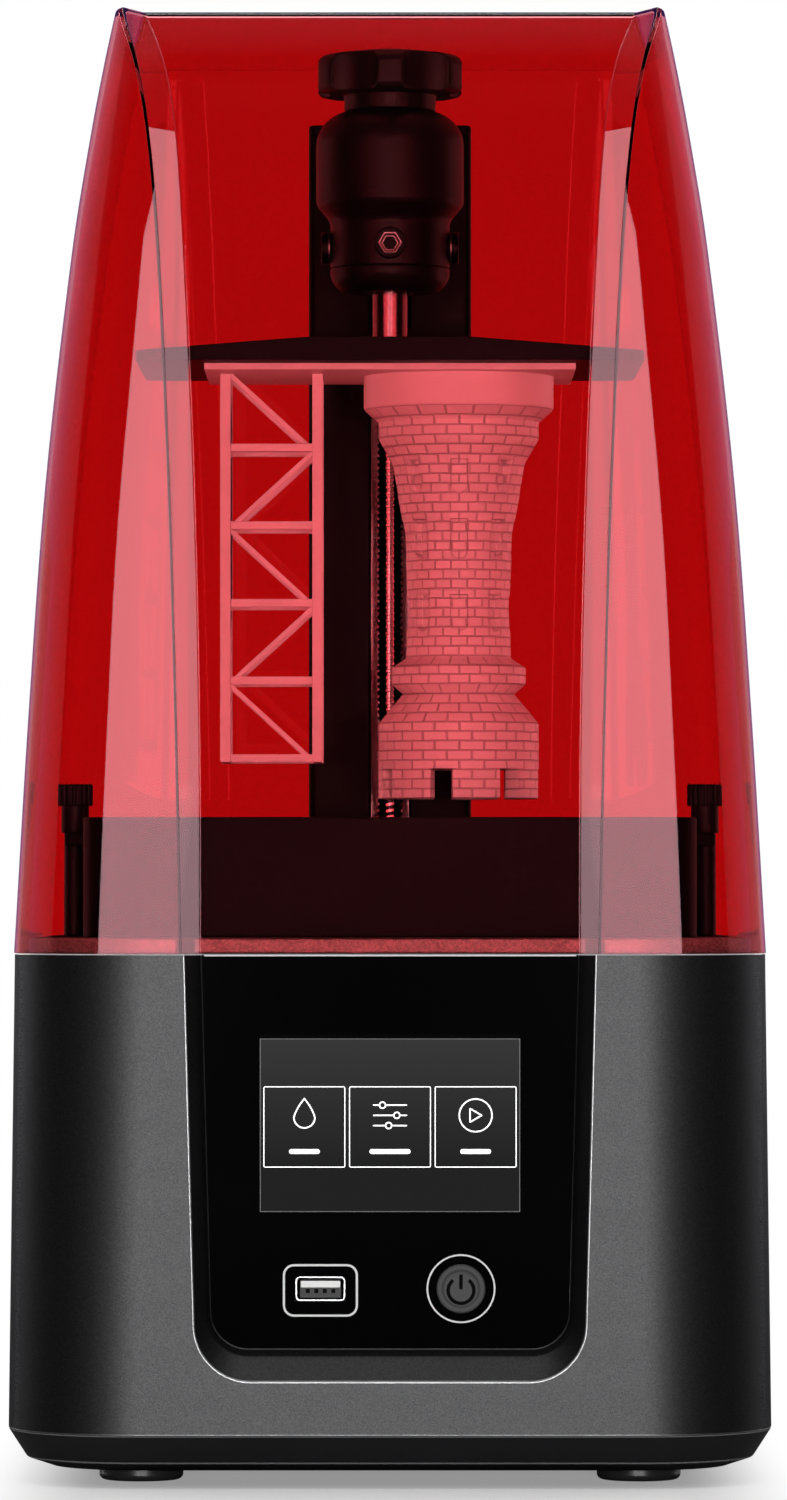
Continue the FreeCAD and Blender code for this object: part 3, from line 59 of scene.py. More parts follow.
def new_group(name, inputs, outputs):
    """A shader node group with its sockets and nothing in it yet, and its two ends."""
    group = bpy.data.node_groups.new(name, "ShaderNodeTree")
    for label, kind, value in inputs:
        socket = group.interface.new_socket(label, in_out="INPUT", socket_type=f"NodeSocket{kind}")
        socket.default_value = value
    for label, kind in outputs:
        group.interface.new_socket(label, in_out="OUTPUT", socket_type=f"NodeSocket{kind}")
    return group, group.nodes.new("NodeGroupInput"), group.nodes.new("NodeGroupOutput")


def math_node(tree, operation, first=None, second=None, third=None):
    """A Math node whose inputs are numbers or sockets; gives its output."""
    node = tree.nodes.new("ShaderNodeMath")
    node.operation = operation
    for spot, value in enumerate((first, second, third)):
        if value is None:
            continue
        if isinstance(value, (int, float)):
            node.inputs[spot].default_value = value
        else:
            tree.links.new(value, node.inputs[spot])
    return node.outputs[0]


def new_finish(name):
    """A new material, with its node tree and its shader."""
    material = bpy.data.materials.new(name)
    material.use_nodes = True
    return material, material.node_tree, material.node_tree.nodes["Principled BSDF"]


def mixed(tree, blend, first, second, factor=1):
    """A colour Mix node whose inputs are plain values or sockets; gives its output."""
    node = tree.nodes.new("ShaderNodeMix")
    node.data_type = "RGBA"
    node.blend_type = blend
    for label, value in (("A", first), ("B", second), ("Factor", factor)):
        if isinstance(value, bpy.types.NodeSocket):
            tree.links.new(value, node.inputs[label])
        else:
            node.inputs[label].default_value = value
    return node.outputs["Result"]


def bumped(tree, shader, height, strength, distance):
    """Let a height roughen a shader's surface."""
    dents = tree.nodes.new("ShaderNodeBump")
    dents.inputs["Strength"].default_value = strength
    dents.inputs["Distance"].default_value = distance
    tree.links.new(height, dents.inputs["Height"])
    tree.links.new(dents.outputs["Normal"], shader.inputs["Normal"])


GRAIN_DEPTH = 0.04 * MM
grain_group, start, end = new_group(
    "moulding_grain",
    [("Fineness", "Float", 900), ("Spread", "Float", 0.25)],
    [("Height", "Float"), ("Tone", "Float")])
where = grain_group.nodes.new("ShaderNodeTexCoord")
fine = grain_group.nodes.new("ShaderNodeTexNoise")
fine.inputs["Detail"].default_value = 3
slow = grain_group.nodes.new("ShaderNodeTexNoise")
slow.inputs["Scale"].default_value = 35
slow.inputs["Detail"].default_value = 4
grain_group.links.new(where.outputs["Object"], fine.inputs["Vector"])
grain_group.links.new(where.outputs["Object"], slow.inputs["Vector"])
grain_group.links.new(start.outputs["Fineness"], fine.inputs["Scale"])
drift = math_node(grain_group, "SUBTRACT", slow.outputs["Fac"], 0.5)
tone = math_node(grain_group, "MULTIPLY_ADD", drift, start.outputs["Spread"], 1)
grain_group.links.new(fine.outputs["Fac"], end.inputs["Height"])
grain_group.links.new(tone, end.inputs["Tone"])


def finish(name, colour, roughness, metallic=0.0, fineness=900, spread=0.3, bump=0.25, specular=0.5):
    """A grained finish: tone and roughness drift over the piece, and a fine bump breaks the gloss."""
    material, tree, shader = new_finish(name)
    shader.inputs["Metallic"].default_value = metallic
    shader.inputs["Specular IOR Level"].default_value = specular
    grain = tree.nodes.new("ShaderNodeGroup")
    grain.node_tree = grain_group
    grain.inputs["Fineness"].default_value = fineness
    grain.inputs["Spread"].default_value = spread
    tone = grain.outputs["Tone"]
    tree.links.new(mixed(tree, "MULTIPLY", (*colour, 1), tone), shader.inputs["Base Color"])
    tree.links.new(math_node(tree, "MULTIPLY", tone, roughness), shader.inputs["Roughness"])
    bumped(tree, shader, grain.outputs["Height"], bump, GRAIN_DEPTH)
    return material


def wear(piece, material):
    """Give a piece one finish in place of whatever it came with."""
    piece.data.materials.clear()
    piece.data.materials.append(material)


def dress(material, *names):
    """Put a finish on CAD nodes whose shape stays as it is."""
    for name in names:
        wear(nodes[name], material)


def take(piece):
    """Make one object the only selected and active one."""
    bpy.ops.object.select_all(action="DESELECT")
    piece.select_set(True)
    bpy.context.view_layer.objects.active = piece


def use(piece, kind, **settings):
    """Add a modifier to a piece and apply it at once."""
    take(piece)
    modifier = piece.modifiers.new(kind.lower(), kind)
    for key, value in settings.items():
        setattr(modifier, key, value)
    bpy.ops.object.modifier_apply(modifier=modifier.name)


SHARP_EDGE, FLAT_EDGE = math.radians(30), math.radians(0.05)
MERGE_GAP, SLIVER, SAME_SPOT = 0.004 * MM, 0.02 * MM, 0.05 * MM


def softened(node, name, body, width, material, edge=None, flush=()):
    """A copy of a CAD node, merged and with its hard edges rounded, that stands for the node.

    Each pair in flush is a corner that stands proud and the place where it is level.
    """
    take(nodes[node])
    bpy.ops.object.duplicate()
    piece = bpy.context.object
    piece.name = name
    piece.data.name = name
    bpy.ops.mesh.customdata_custom_splitnormals_clear()
    for proud, level in flush:
        for corner in piece.data.vertices:
            if (corner.co - Vector(proud) * MM).length < SAME_SPOT:
                corner.co = Vector(level) * MM
    bpy.ops.object.mode_set(mode="EDIT")
    bpy.ops.mesh.select_all(action="SELECT")
    bpy.ops.mesh.remove_doubles(threshold=MERGE_GAP)
    if flush:
        bpy.ops.mesh.dissolve_degenerate(threshold=SLIVER)
    bpy.ops.mesh.dissolve_limited(angle_limit=FLAT_EDGE)
    bpy.ops.object.mode_set(mode="OBJECT")
    wear(piece, material)
    if edge:
        piece.data.materials.append(edge)
    use(piece, "BEVEL", width=width, segments=2, limit_method="ANGLE", angle_limit=SHARP_EDGE,
        use_clamp_overlap=False, harden_normals=False, material=1 if edge else -1)
    bpy.ops.object.shade_smooth_by_angle(angle=SHARP_EDGE)
    use(piece, "WEIGHTED_NORMAL", keep_sharp=True)
    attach(piece, body)
    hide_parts(node)
    return piece


tray_plastic = finish("tray_plastic", (0.009, 0.009, 0.01), 0.3, fineness=700)
foot_rubber = finish("foot_rubber", (0.016, 0.016, 0.017), 0.28, fineness=1400)
screw_steel = finish("screw_steel", (0.42, 0.42, 0.43), 0.3, metallic=1, fineness=2200)
# The tray's rounded edges wear a paler plastic: a painted highlight along its rims.
tray_edge_highlight = finish("tray_edge_highlight", (0.13, 0.13, 0.132), 0.26, fineness=700)
softened("base_tray", "tray_shell", "base", 0.45 * MM, tray_plastic, edge=tray_edge_highlight)
dress(foot_rubber, "rubber_feet")
dress(screw_steel, "tray_screws")

# The housing: a slightly tapering square shell in dark metallic paint, with a bevelled recess for the
# control panel and vent slots at the back. Its edges are rounded a little and painted pale as a painted
# highlight, brightest at the rim.
FLAKE_DEPTH, FLAKE_GLOSS = 0.03 * MM, 0.12
flake_group, start, end = new_group(
    "metal_flakes",
    [("Fineness", "Float", 3200), ("Contrast", "Float", 0.5)],
    [("Sparkle", "Float"), ("Height", "Float")])
where = flake_group.nodes.new("ShaderNodeTexCoord")
cells = flake_group.nodes.new("ShaderNodeTexVoronoi")
flake_group.links.new(where.outputs["Object"], cells.inputs["Vector"])
flake_group.links.new(start.outputs["Fineness"], cells.inputs["Scale"])
parts = flake_group.nodes.new("ShaderNodeSeparateColor")
flake_group.links.new(cells.outputs["Color"], parts.inputs["Color"])
offset = math_node(flake_group, "SUBTRACT", parts.outputs["Red"], 0.5)
sparkle = math_node(flake_group, "MULTIPLY_ADD", offset, start.outputs["Contrast"], 1)
flake_group.links.new(sparkle, end.inputs["Sparkle"])
flake_group.links.new(parts.outputs["Green"], end.inputs["Height"])


def flake_paint(name, colour, roughness, metallic, fineness=3200, contrast=0.9, bump=0.35):
    """Metallic paint: each flake has its own brightness and tilt."""
    material, tree, shader = new_finish(name)
    shader.inputs["Metallic"].default_value = metallic
    shader.inputs["Specular Tint"].default_value = (0.3, 0.3, 0.3, 1)
    flakes = tree.nodes.new("ShaderNodeGroup")
    flakes.node_tree = flake_group
    flakes.inputs["Fineness"].default_value = fineness
    flakes.inputs["Contrast"].default_value = contrast
    tint = mixed(tree, "MULTIPLY", (*colour, 1), flakes.outputs["Sparkle"])
    tree.links.new(tint, shader.inputs["Base Color"])
    tilt = flakes.outputs["Height"]
    rough = math_node(tree, "MULTIPLY_ADD", tilt, FLAKE_GLOSS, roughness - FLAKE_GLOSS / 2)
    tree.links.new(rough, shader.inputs["Roughness"])
    bumped(tree, shader, tilt, bump, FLAKE_DEPTH)
    return material


def place_parts(tree):
    """Where a point is on its piece: the whole place, and its X, Y and Z."""
    where = tree.nodes.new("ShaderNodeTexCoord").outputs["Object"]
    split = tree.nodes.new("ShaderNodeSeparateXYZ")
    tree.links.new(where, split.inputs[0])
    return where, split.outputs


RIM_Z = 156 * MM
FAN_SEAT_CORNER = ((-84, 111, 125), (-84, 110.343, 125))
housing_paint = flake_paint(
    "housing_paint", (0.057, 0.057, 0.0583), 0.48, 1.0, fineness=6000, contrast=0.7, bump=0.15)
housing_edge_highlight = flake_paint(
    "housing_edge_highlight", (0.42, 0.42, 0.425), 0.42, 1.0, fineness=6000, contrast=0.4, bump=0.1)
# Above the rim the pale edge paint is not metallic, so it shows there as a painted highlight line.
tree = housing_edge_highlight.node_tree
below_rim = math_node(tree, "LESS_THAN", place_parts(tree)[1]["Z"], RIM_Z)
tree.links.new(below_rim, tree.nodes["Principled BSDF"].inputs["Metallic"])
softened(
    "housing", "housing_shell", "base", 0.38 * MM, housing_paint, edge=housing_edge_highlight,
    flush=[FAN_SEAT_CORNER])

# The control panel: a sheet of gloss black plastic stuck into the recess, with the touchscreen's glass
# flush in it and a painted highlight strip along its top edge. The screen is lit dimly and shows three
# framed tiles with plain signs.
PANEL_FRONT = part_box("front_panel")[0].y
panel_gloss = finish(
    "panel_gloss", (0.0012, 0.0012, 0.0013), 0.07, fineness=300, spread=0.15, bump=0.02, specular=0.03)
dress(panel_gloss, "front_panel")

SCREEN_LOW, SCREEN_HIGH, SCREEN_WIDE = 80.9, 131.7, 76.2
screen_face, tree, shader = new_finish("screen_face")
shader.inputs["Base Color"].default_value = (0.002, 0.002, 0.002, 1)
shader.inputs["Roughness"].default_value = 0.08
shader.inputs["Specular IOR Level"].default_value = 0.03
shader.inputs["Emission Strength"].default_value = 1
where, place = place_parts(tree)
glow = tree.nodes.new("ShaderNodeMapRange")
glow.inputs["From Min"].default_value = SCREEN_LOW * MM
glow.inputs["From Max"].default_value = SCREEN_HIGH * MM
tree.links.new(place["Z"], glow.inputs["Value"])
ramp = tree.nodes.new("ShaderNodeValToRGB")
ramp.color_ramp.elements[0].color = (0.0145, 0.0145, 0.0148, 1)
ramp.color_ramp.elements[0].position = 0.25
ramp.color_ramp.elements[1].color = (0.038, 0.038, 0.039, 1)
dots = tree.nodes.new("ShaderNodeTexChecker")
dots.inputs["Scale"].default_value = 6000
dots.inputs["Color1"].default_value = (1, 1, 1, 1)
dots.inputs["Color2"].default_value = (0.9, 0.9, 0.92, 1)
tree.links.new(where, dots.inputs["Vector"])
tree.links.new(glow.outputs[0], ramp.inputs["Fac"])
dotted = mixed(tree, "MULTIPLY", ramp.outputs["Color"], dots.outputs["Color"])
lit_part = math_node(tree, "LESS_THAN", place["Z"], SCREEN_HIGH * MM)
tree.links.new(mixed(tree, "MULTIPLY", dotted, lit_part), shader.inputs["Emission Color"])
dress(screen_face, "touchscreen")

board_mask = finish("board_mask", (0.012, 0.05, 0.02), 0.35, fineness=500, spread=0.6)
dress(board_mask, "screen_board", "usb_board", "mainboard", "led_board")

MARK_GAP = 0.02 * MM


def flat_start(kind, x, z, width, height, sides=4, turn=0.0):
    """A flat face on the panel, facing the front, at its size and place."""
    spot = (x * MM, PANEL_FRONT - MARK_GAP, z * MM)
    tilt = (math.pi / 2, turn, 0)
    if kind == "plane":
        bpy.ops.mesh.primitive_plane_add(size=1, location=spot, rotation=tilt)
    else:
        bpy.ops.mesh.primitive_circle_add(
            vertices=sides, radius=0.5, fill_type="NGON", location=spot, rotation=tilt)
    face = bpy.context.object
    face.scale = (width * MM, height * MM, 1)
    bpy.ops.object.transform_apply(location=True, rotation=True, scale=True)
    return face


def flat_mark(kind, x, z, width, height, rounding=0.0, line=None, sides=4, turn=0.0):
    """A printed or lit mark: a flat face with rounded corners, or only its outline of even width."""
    face = flat_start(kind, x, z, width, height, sides, turn)
    bpy.ops.object.mode_set(mode="EDIT")
    bpy.ops.mesh.select_all(action="SELECT")
    if rounding:
        bpy.ops.mesh.bevel(affect="VERTICES", offset=rounding * MM, segments=5)
        bpy.ops.mesh.select_all(action="SELECT")
    if line:
        bpy.ops.mesh.inset(thickness=line * MM, use_even_offset=True)
        bpy.ops.mesh.delete(type="FACE")
    bpy.ops.object.mode_set(mode="OBJECT")
    return face


def joined(name, faces, thickness, body, material):
    """Flat marks made one thin solid piece that rides on a body."""
    take(faces[0])
    for face in faces[1:]:
        face.select_set(True)
    bpy.ops.object.join()
    piece = bpy.context.object
    piece.name = name
    piece.data.name = name
    use(piece, "SOLIDIFY", thickness=thickness, offset=1)
    wear(piece, material)
    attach(piece, body)
    return piece


def lit_white(name, strength, tone):
    """White light or white print, a little uneven; the print's faint glow is painted light."""
    material = finish(name, (tone, tone, tone), 0.4, spread=0.12, specular=0.1)
    shader = material.node_tree.nodes["Principled BSDF"]
    source = shader.inputs["Base Color"].links[0].from_socket
    material.node_tree.links.new(source, shader.inputs["Emission Color"])
    shader.inputs["Emission Strength"].default_value = strength
    return material


TILE_STEP, TILE_Z, TILE_WIDE, TILE_HIGH, TILE_LINE = 25.1, 105.8, 24.0, 23.8, 0.28
BAR_Z, BAR_HIGH, BAR_SHORT, BAR_LONG = 98.6, 1.4, 9.0, 12.0
SIGN_Z, SIGN_LINE = 109.2, 0.42
screen_white = lit_white("screen_white", 0.75, 0.95)
marks = []
for x in (-TILE_STEP, 0.0, TILE_STEP):
    marks.append(flat_mark("plane", x, TILE_Z, TILE_WIDE, TILE_HIGH, 0.5, TILE_LINE))
    marks.append(flat_mark("plane", x, BAR_Z, BAR_SHORT if x else BAR_LONG, BAR_HIGH, 0.65))
# A drop of resin on the first tile: a circle whose upper half is drawn up to a point.
DROP_X, DROP_Z, DROP_RADIUS, DROP_STRETCH, DROP_POINT = -TILE_STEP, 108.6, 3.3, 1.75, 0.45
drop = flat_start("circle", DROP_X, DROP_Z, 2 * DROP_RADIUS, 2 * DROP_RADIUS, 32)
for corner in drop.data.vertices:
    high = corner.co.z - DROP_Z * MM
    if high > 0:
        narrow = max(0.0, 1 - high / (DROP_RADIUS * MM)) ** DROP_POINT
        corner.co.x = DROP_X * MM + (corner.co.x - DROP_X * MM) * narrow
        corner.co.z = DROP_Z * MM + high * DROP_STRETCH
bpy.ops.object.mode_set(mode="EDIT")
bpy.ops.mesh.select_all(action="SELECT")
bpy.ops.mesh.inset(thickness=SIGN_LINE * MM, use_even_offset=False)
bpy.ops.mesh.delete(type="FACE")
bpy.ops.object.mode_set(mode="OBJECT")
marks.append(drop)
# Three sliders on the second tile.
SLIDER_RADIUS, TRACK_END, TRACK_STEP = 1.1, 5.0, 3.0
for row, spot in ((SIGN_Z + TRACK_STEP, -2.2), (SIGN_Z, 2.0), (SIGN_Z - TRACK_STEP, -0.4)):
    marks.append(flat_mark("circle", spot, row, 2 * SLIDER_RADIUS, 2 * SLIDER_RADIUS, 0, SIGN_LINE, 24))
    for left, right in ((-TRACK_END, spot - SLIDER_RADIUS), (spot + SLIDER_RADIUS, TRACK_END)):
        marks.append(flat_mark("plane", (left + right) / 2, row, right - left, SIGN_LINE, 0.2))
# A start arrow in a ring on the third tile.
RING_WIDE, ARROW_WIDE, ARROW_SHIFT = 10.0, 5.4, 0.5
marks.append(flat_mark("circle", TILE_STEP, SIGN_Z, RING_WIDE, RING_WIDE, 0, SIGN_LINE, 48))
marks.append(flat_mark(
    "circle", TILE_STEP - ARROW_SHIFT, SIGN_Z, ARROW_WIDE, ARROW_WIDE, 0.5, SIGN_LINE, 3, math.pi / 2))
joined("screen_marks", marks, 0.05 * MM, "base", screen_white)
screen_rim = lit_white("screen_rim", 0.5, 0.1)
rim = flat_mark(
    "plane", 0, (SCREEN_LOW + SCREEN_HIGH) / 2, SCREEN_WIDE, SCREEN_HIGH - SCREEN_LOW, 0, 0.22)
joined("screen_outline", [rim], 0.03 * MM, "base", screen_rim)
# A thin pale strip on the panel's top edge: a painted highlight where the edge catches the light.
GLINT_Z, GLINT_WIDE, GLINT_HIGH = 156.0, 109.0, 0.34
panel_glint = finish("panel_glint", (0.5, 0.49, 0.49), 0.3, fineness=900, spread=0.2)
glint_strip = flat_mark("plane", 0, GLINT_Z, GLINT_WIDE, GLINT_HIGH)
joined("panel_top_glint", [glint_strip], 0.03 * MM, "base", panel_glint)

# The front socket: a sheet steel shell with rounded corners round a white plastic tongue, with four dark
# contacts below it. It pokes through the panel inside a printed white outline.


def set_depth(face, y):
    """Move a flat face to another depth."""
    for corner in face.data.vertices:
        corner.co.y = y


SOCKET_X, SOCKET_Z, OUTLINE_DROP = -20.4, 58.4, 0.5
# White print that also glows faintly: painted light on top of its own white.
white_print_glow = lit_white("white_print_glow", 0.08, 0.62)
outline = flat_mark("plane", SOCKET_X, SOCKET_Z - OUTLINE_DROP, 22.0, 15.4, 3.2, 0.62)
joined("socket_outline", [outline], 0.04 * MM, "base", white_print_glow)

socket_steel = finish("socket_steel", (0.4, 0.4, 0.41), 0.26, metallic=1, fineness=1500)
rim = flat_mark("plane", SOCKET_X, SOCKET_Z, 14.5, 7.1, 1.3, 0.38)
low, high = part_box("usb_socket")
set_depth(rim, low.y)
shell = joined("socket_shell", [rim], low.y - high.y, "base", socket_steel)
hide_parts("usb_socket")
tongue_white = finish("tongue_white", (0.8, 0.8, 0.79), 0.4, fineness=1200, spread=0.1)
dress(tongue_white, "usb_tongue")
contact_grey = finish("contact_grey", (0.09, 0.09, 0.09), 0.5, fineness=2400, specular=0.1)
contact_black = finish("contact_black", (0.003, 0.003, 0.003), 0.5, fineness=2400, specular=0.03)
BLOCK_Y, BLOCK_DEEP, BLOCK_Z = -104.6, 8, 57.0
CONTACT_STEP, CONTACT_WIDE, CONTACT_Z, CONTACT_PROUD = 2.5, 1.2, 57.5, 0.02
block = flat_mark("plane", SOCKET_X, BLOCK_Z, 12.0, 2.9, 0.2)
set_depth(block, BLOCK_Y * MM)
joined("socket_block", [block], -BLOCK_DEEP * MM, "base", contact_grey)
contacts = []
for step in (-1.5, -0.5, 0.5, 1.5):
    spot = SOCKET_X + step * CONTACT_STEP
    contact = flat_mark("plane", spot, CONTACT_Z, CONTACT_WIDE, CONTACT_WIDE, 0.15)
    set_depth(contact, (BLOCK_Y - CONTACT_PROUD) * MM)
    contacts.append(contact)
joined("socket_contacts", contacts, 0.15 * MM, "base", contact_black)

# The power button: a grey plastic plunger with an engraved stand-by sign, in a printed white ring. It
# slides in the panel against the switch behind it.
BUTTON_X, BUTTON_Z, BUTTON_RING = 20.8, 58.4, 20.2
ring = flat_mark("circle", BUTTON_X, BUTTON_Z, BUTTON_RING, BUTTON_RING, 0, 0.5, 96)
joined("button_ring", [ring], 0.04 * MM, "base", white_print_glow)

button_plastic = finish(
    "button_plastic", (0.05, 0.05, 0.051), 0.42, fineness=1800, spread=0.3, bump=0.4, specular=0.12)
# The stand-by sign's cut faces are near black: painted shade in the engraving.
engraved = finish("engraved_sign_shade", (0.002, 0.002, 0.002), 0.5, fineness=1800, specular=0.02)
button_cap = softened("power_button", "button_cap", "button", 0.25 * MM, button_plastic)
ARC_Z, ARC_WIDE, ARC_GAP = BUTTON_Z - 0.5, 8.6, math.radians(38)
BAR_MIDDLE, BAR_LENGTH, STROKE = BUTTON_Z + 2.0, 4.4, 1.05
CUT_FRONT, CUT_DEPTH = -110.2, 1.55
arc = flat_mark("circle", BUTTON_X, ARC_Z, ARC_WIDE, ARC_WIDE, 0, STROKE, 48)
bpy.ops.object.mode_set(mode="EDIT")
shape = bmesh.from_edit_mesh(arc.data)
for face in shape.faces:
    spot = face.calc_center_median()
    away = math.atan2(spot.x - BUTTON_X * MM, spot.z - ARC_Z * MM)
    face.select_set(abs(away) < ARC_GAP)
bmesh.update_edit_mesh(arc.data)
bpy.ops.mesh.delete(type="FACE")
bpy.ops.object.mode_set(mode="OBJECT")
bar = flat_mark("plane", BUTTON_X, BAR_MIDDLE, STROKE, BAR_LENGTH, 0.3)
take(arc)
bar.select_set(True)
bpy.ops.object.join()
cutter = bpy.context.object
set_depth(cutter, CUT_FRONT * MM)
use(cutter, "SOLIDIFY", thickness=CUT_DEPTH * MM, offset=-1)
wear(cutter, engraved)
use(button_cap, "BOOLEAN", operation="DIFFERENCE", object=cutter, solver="EXACT", material_mode="TRANSFER")
bpy.data.objects.remove(cutter)
dark_plastic = finish("dark_plastic", (0.012, 0.012, 0.013), 0.42, fineness=1100)
dress(dark_plastic, "power_switch")

# The power inlet and the exhaust fan at the back: black moulded plastic, held from inside by a rim and
# by screws. The rotor turns freely in its frame.
dress(dark_plastic, "dc_jack", "exhaust_fan_frame", "exhaust_fan_rotor")

# The light engine under the screen: a fan, a finned heat sink, the lamp board, a shroud and a lens
# plate, stacked on the tray's posts.
bare_aluminium = finish("bare_aluminium", (0.6, 0.6, 0.61), 0.38, metallic=1, fineness=1600)
lens_clear = finish("lens_clear", (0.75, 0.78, 0.8), 0.12, fineness=200, spread=0.1, bump=0.03)
dress(dark_plastic, "led_fan_frame", "led_fan_rotor", "light_shroud")
dress(bare_aluminium, "led_heatsink")
dress(lens_clear, "lens_plate")

# The deck: a painted plate screwed onto the housing's flange, with the masking screen and its cover
# glass let into it, and the lift motor hung under it.
# The deck's paint is paler than the housing's: a painted brightening for the light its front edge catches
# under the lid.
deck_paint_brightened = flake_paint("deck_paint_brightened", (0.22, 0.16, 0.15), 0.42, 0.35, fineness=2000, contrast=0.8)
mask_glass = finish("mask_glass", (0.004, 0.004, 0.005), 0.05, fineness=200, spread=0.1, bump=0.02)
softened("top_deck", "deck_plate", "base", 0.6 * MM, deck_paint_brightened)
dress(screw_steel, "deck_screws")
dress(mask_glass, "lcd_panel", "screen_glass")
dress(dark_plastic, "z_motor")

# The column: an anodised channel with a front slot, closed by a cap. Inside it are the lead screw, the
# rail with its block, and the arm that carries the platform through the slot.
black_anodised = finish(
    "black_anodised", (0.003, 0.003, 0.0032), 0.5, fineness=2600, spread=0.2, bump=0.3, specular=0.07)
softened("column", "column_channel", "base", 0.5 * MM, black_anodised)
softened("column_cap", "column_cap_cover", "base", 0.8 * MM, black_anodised)
softened("z_arm", "platform_arm", "carriage", 0.6 * MM, black_anodised)
rail_steel = finish("rail_steel", (0.5, 0.5, 0.51), 0.24, metallic=1, fineness=1800)
nut_brass = finish("nut_brass", (0.62, 0.42, 0.16), 0.3, metallic=1, fineness=1200)
dress(rail_steel, "linear_rail", "carriage_block", "screw_bearing")
dress(screw_steel, "rail_screws", "arm_screws")
dress(nut_brass, "screw_nut")
dress(dark_plastic, "endstop_sensor", "endstop_flag")

# The lead screw: a polished steel rod with a two-start trapezoid thread, 4 mm of lift for each turn. One
# turn's profile is wound up the rod, round a plain core.
SCREW_Y, SCREW_LOW, SCREW_HIGH = 59.5, 146.0, 408.8
LEAD, CORE_RADIUS = 4.0, 3.4
THREAD_PROFILE = (
    (3.2, 0.0), (3.2, 0.5), (4.0, 0.8), (4.0, 1.5), (3.2, 1.8),
    (3.2, 2.5), (4.0, 2.8), (4.0, 3.5), (3.2, 3.8), (3.2, 4.0))
bpy.ops.mesh.primitive_circle_add(vertices=len(THREAD_PROFILE), radius=4 * MM, fill_type="NOTHING")
thread = bpy.context.object
thread.name = "screw_thread"
thread.data.name = "screw_thread"
bpy.ops.object.mode_set(mode="EDIT")
shape = bmesh.from_edit_mesh(thread.data)
shape.edges.ensure_lookup_table()
seam = [edge for edge in shape.edges if {v.index for v in edge.verts} == {0, len(THREAD_PROFILE) - 1}]
bmesh.ops.delete(shape, geom=seam, context="EDGES")
for corner, (out, up) in zip(sorted(shape.verts, key=lambda v: v.index), THREAD_PROFILE):
    corner.co = Vector((out, 0, SCREW_LOW + up)) * MM
bmesh.update_edit_mesh(thread.data)
bpy.ops.object.mode_set(mode="OBJECT")
turns = int((SCREW_HIGH - SCREW_LOW) / LEAD) - 1
use(thread, "SCREW", angle=math.tau, screw_offset=LEAD * MM, steps=24, render_steps=24, iterations=turns,
    axis="Z", use_merge_vertices=True, merge_threshold=0.01 * MM, use_normal_calculate=True)
bpy.ops.mesh.primitive_cylinder_add(
    vertices=32, radius=CORE_RADIUS * MM, depth=(SCREW_HIGH - SCREW_LOW) * MM,
    location=(0, 0, (SCREW_HIGH + SCREW_LOW) / 2 * MM))
core = bpy.context.object
bpy.ops.object.transform_apply(location=True)
use(core, "BEVEL", width=0.6 * MM, segments=2, limit_method="ANGLE")
take(thread)
core.select_set(True)
bpy.ops.object.join()
for corner in thread.data.vertices:
    corner.co.y += SCREW_Y * MM
take(thread)
bpy.ops.object.shade_smooth_by_angle(angle=math.radians(35))
polished_steel = finish("polished_steel", (0.72, 0.72, 0.73), 0.13, metallic=1, fineness=900, bump=0.1)
wear(thread, polished_steel)
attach(thread, "screw")
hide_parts("lead_screw")

# The vat: a thick machined frame, anodised black, with a clear film clamped under it by a ring of
# screws. Two fluted thumbscrews hold its ears to the deck.
softened("vat_frame", "vat_body", "base", 0.7 * MM, black_anodised)
film_clear = finish("film_clear", (0.25, 0.25, 0.27), 0.1, fineness=300, bump=0.05)
dress(film_clear, "vat_film")
dress(bare_aluminium, "vat_film_ring")
dress(screw_steel, "vat_ring_screws")
thumb_black = finish("thumb_black", (0.006, 0.006, 0.0062), 0.45, fineness=1500, specular=0.15)
softened("thumbscrew_left", "left_thumbscrew", "thumb_left", 0.25 * MM, thumb_black)
softened("thumbscrew_right", "right_thumbscrew", "thumb_right", 0.25 * MM, thumb_black)

# The platform: a bottle-shaped bracket on the arm, a ball joint clamped by three screws, and a black
# build plate on a polished stem. A star knob on top presses it all onto the arm.
bracket_black = finish(
    "bracket_black", (0.003, 0.003, 0.0032), 0.4, fineness=2600, spread=0.2, bump=0.3, specular=0.15)
softened("platform_bracket", "bracket_casting", "carriage", 0.8 * MM, bracket_black)
softened("ball_retainer", "bracket_ring", "carriage", 0.4 * MM, bracket_black)
clamp_steel = finish("clamp_steel", (0.008, 0.008, 0.008), 0.45, metallic=1, fineness=1500)
# The bolts' rounded rims are paler than their dark faces: a painted highlight ring.
clamp_edge_highlight = finish("clamp_edge_highlight", (0.3, 0.3, 0.3), 0.4, metallic=1, fineness=1500)
softened("clamp_screws", "clamp_bolts", "carriage", 0.55 * MM, clamp_steel, edge=clamp_edge_highlight)
dress(nut_brass, "ball_seat")
stem_steel = finish("stem_steel", (0.3, 0.3, 0.31), 0.2, metallic=1, fineness=900, bump=0.1)
dress(stem_steel, "ball_stud")
softened("build_plate", "plate_black", "platform", 0.3 * MM, black_anodised)
knob_plastic = finish("knob_plastic", (0.005, 0.005, 0.005), 0.4, fineness=1300, specular=0.15)
softened("knob", "star_knob", "knob", 0.7 * MM, knob_plastic)
dress(screw_steel, "knob_stud")

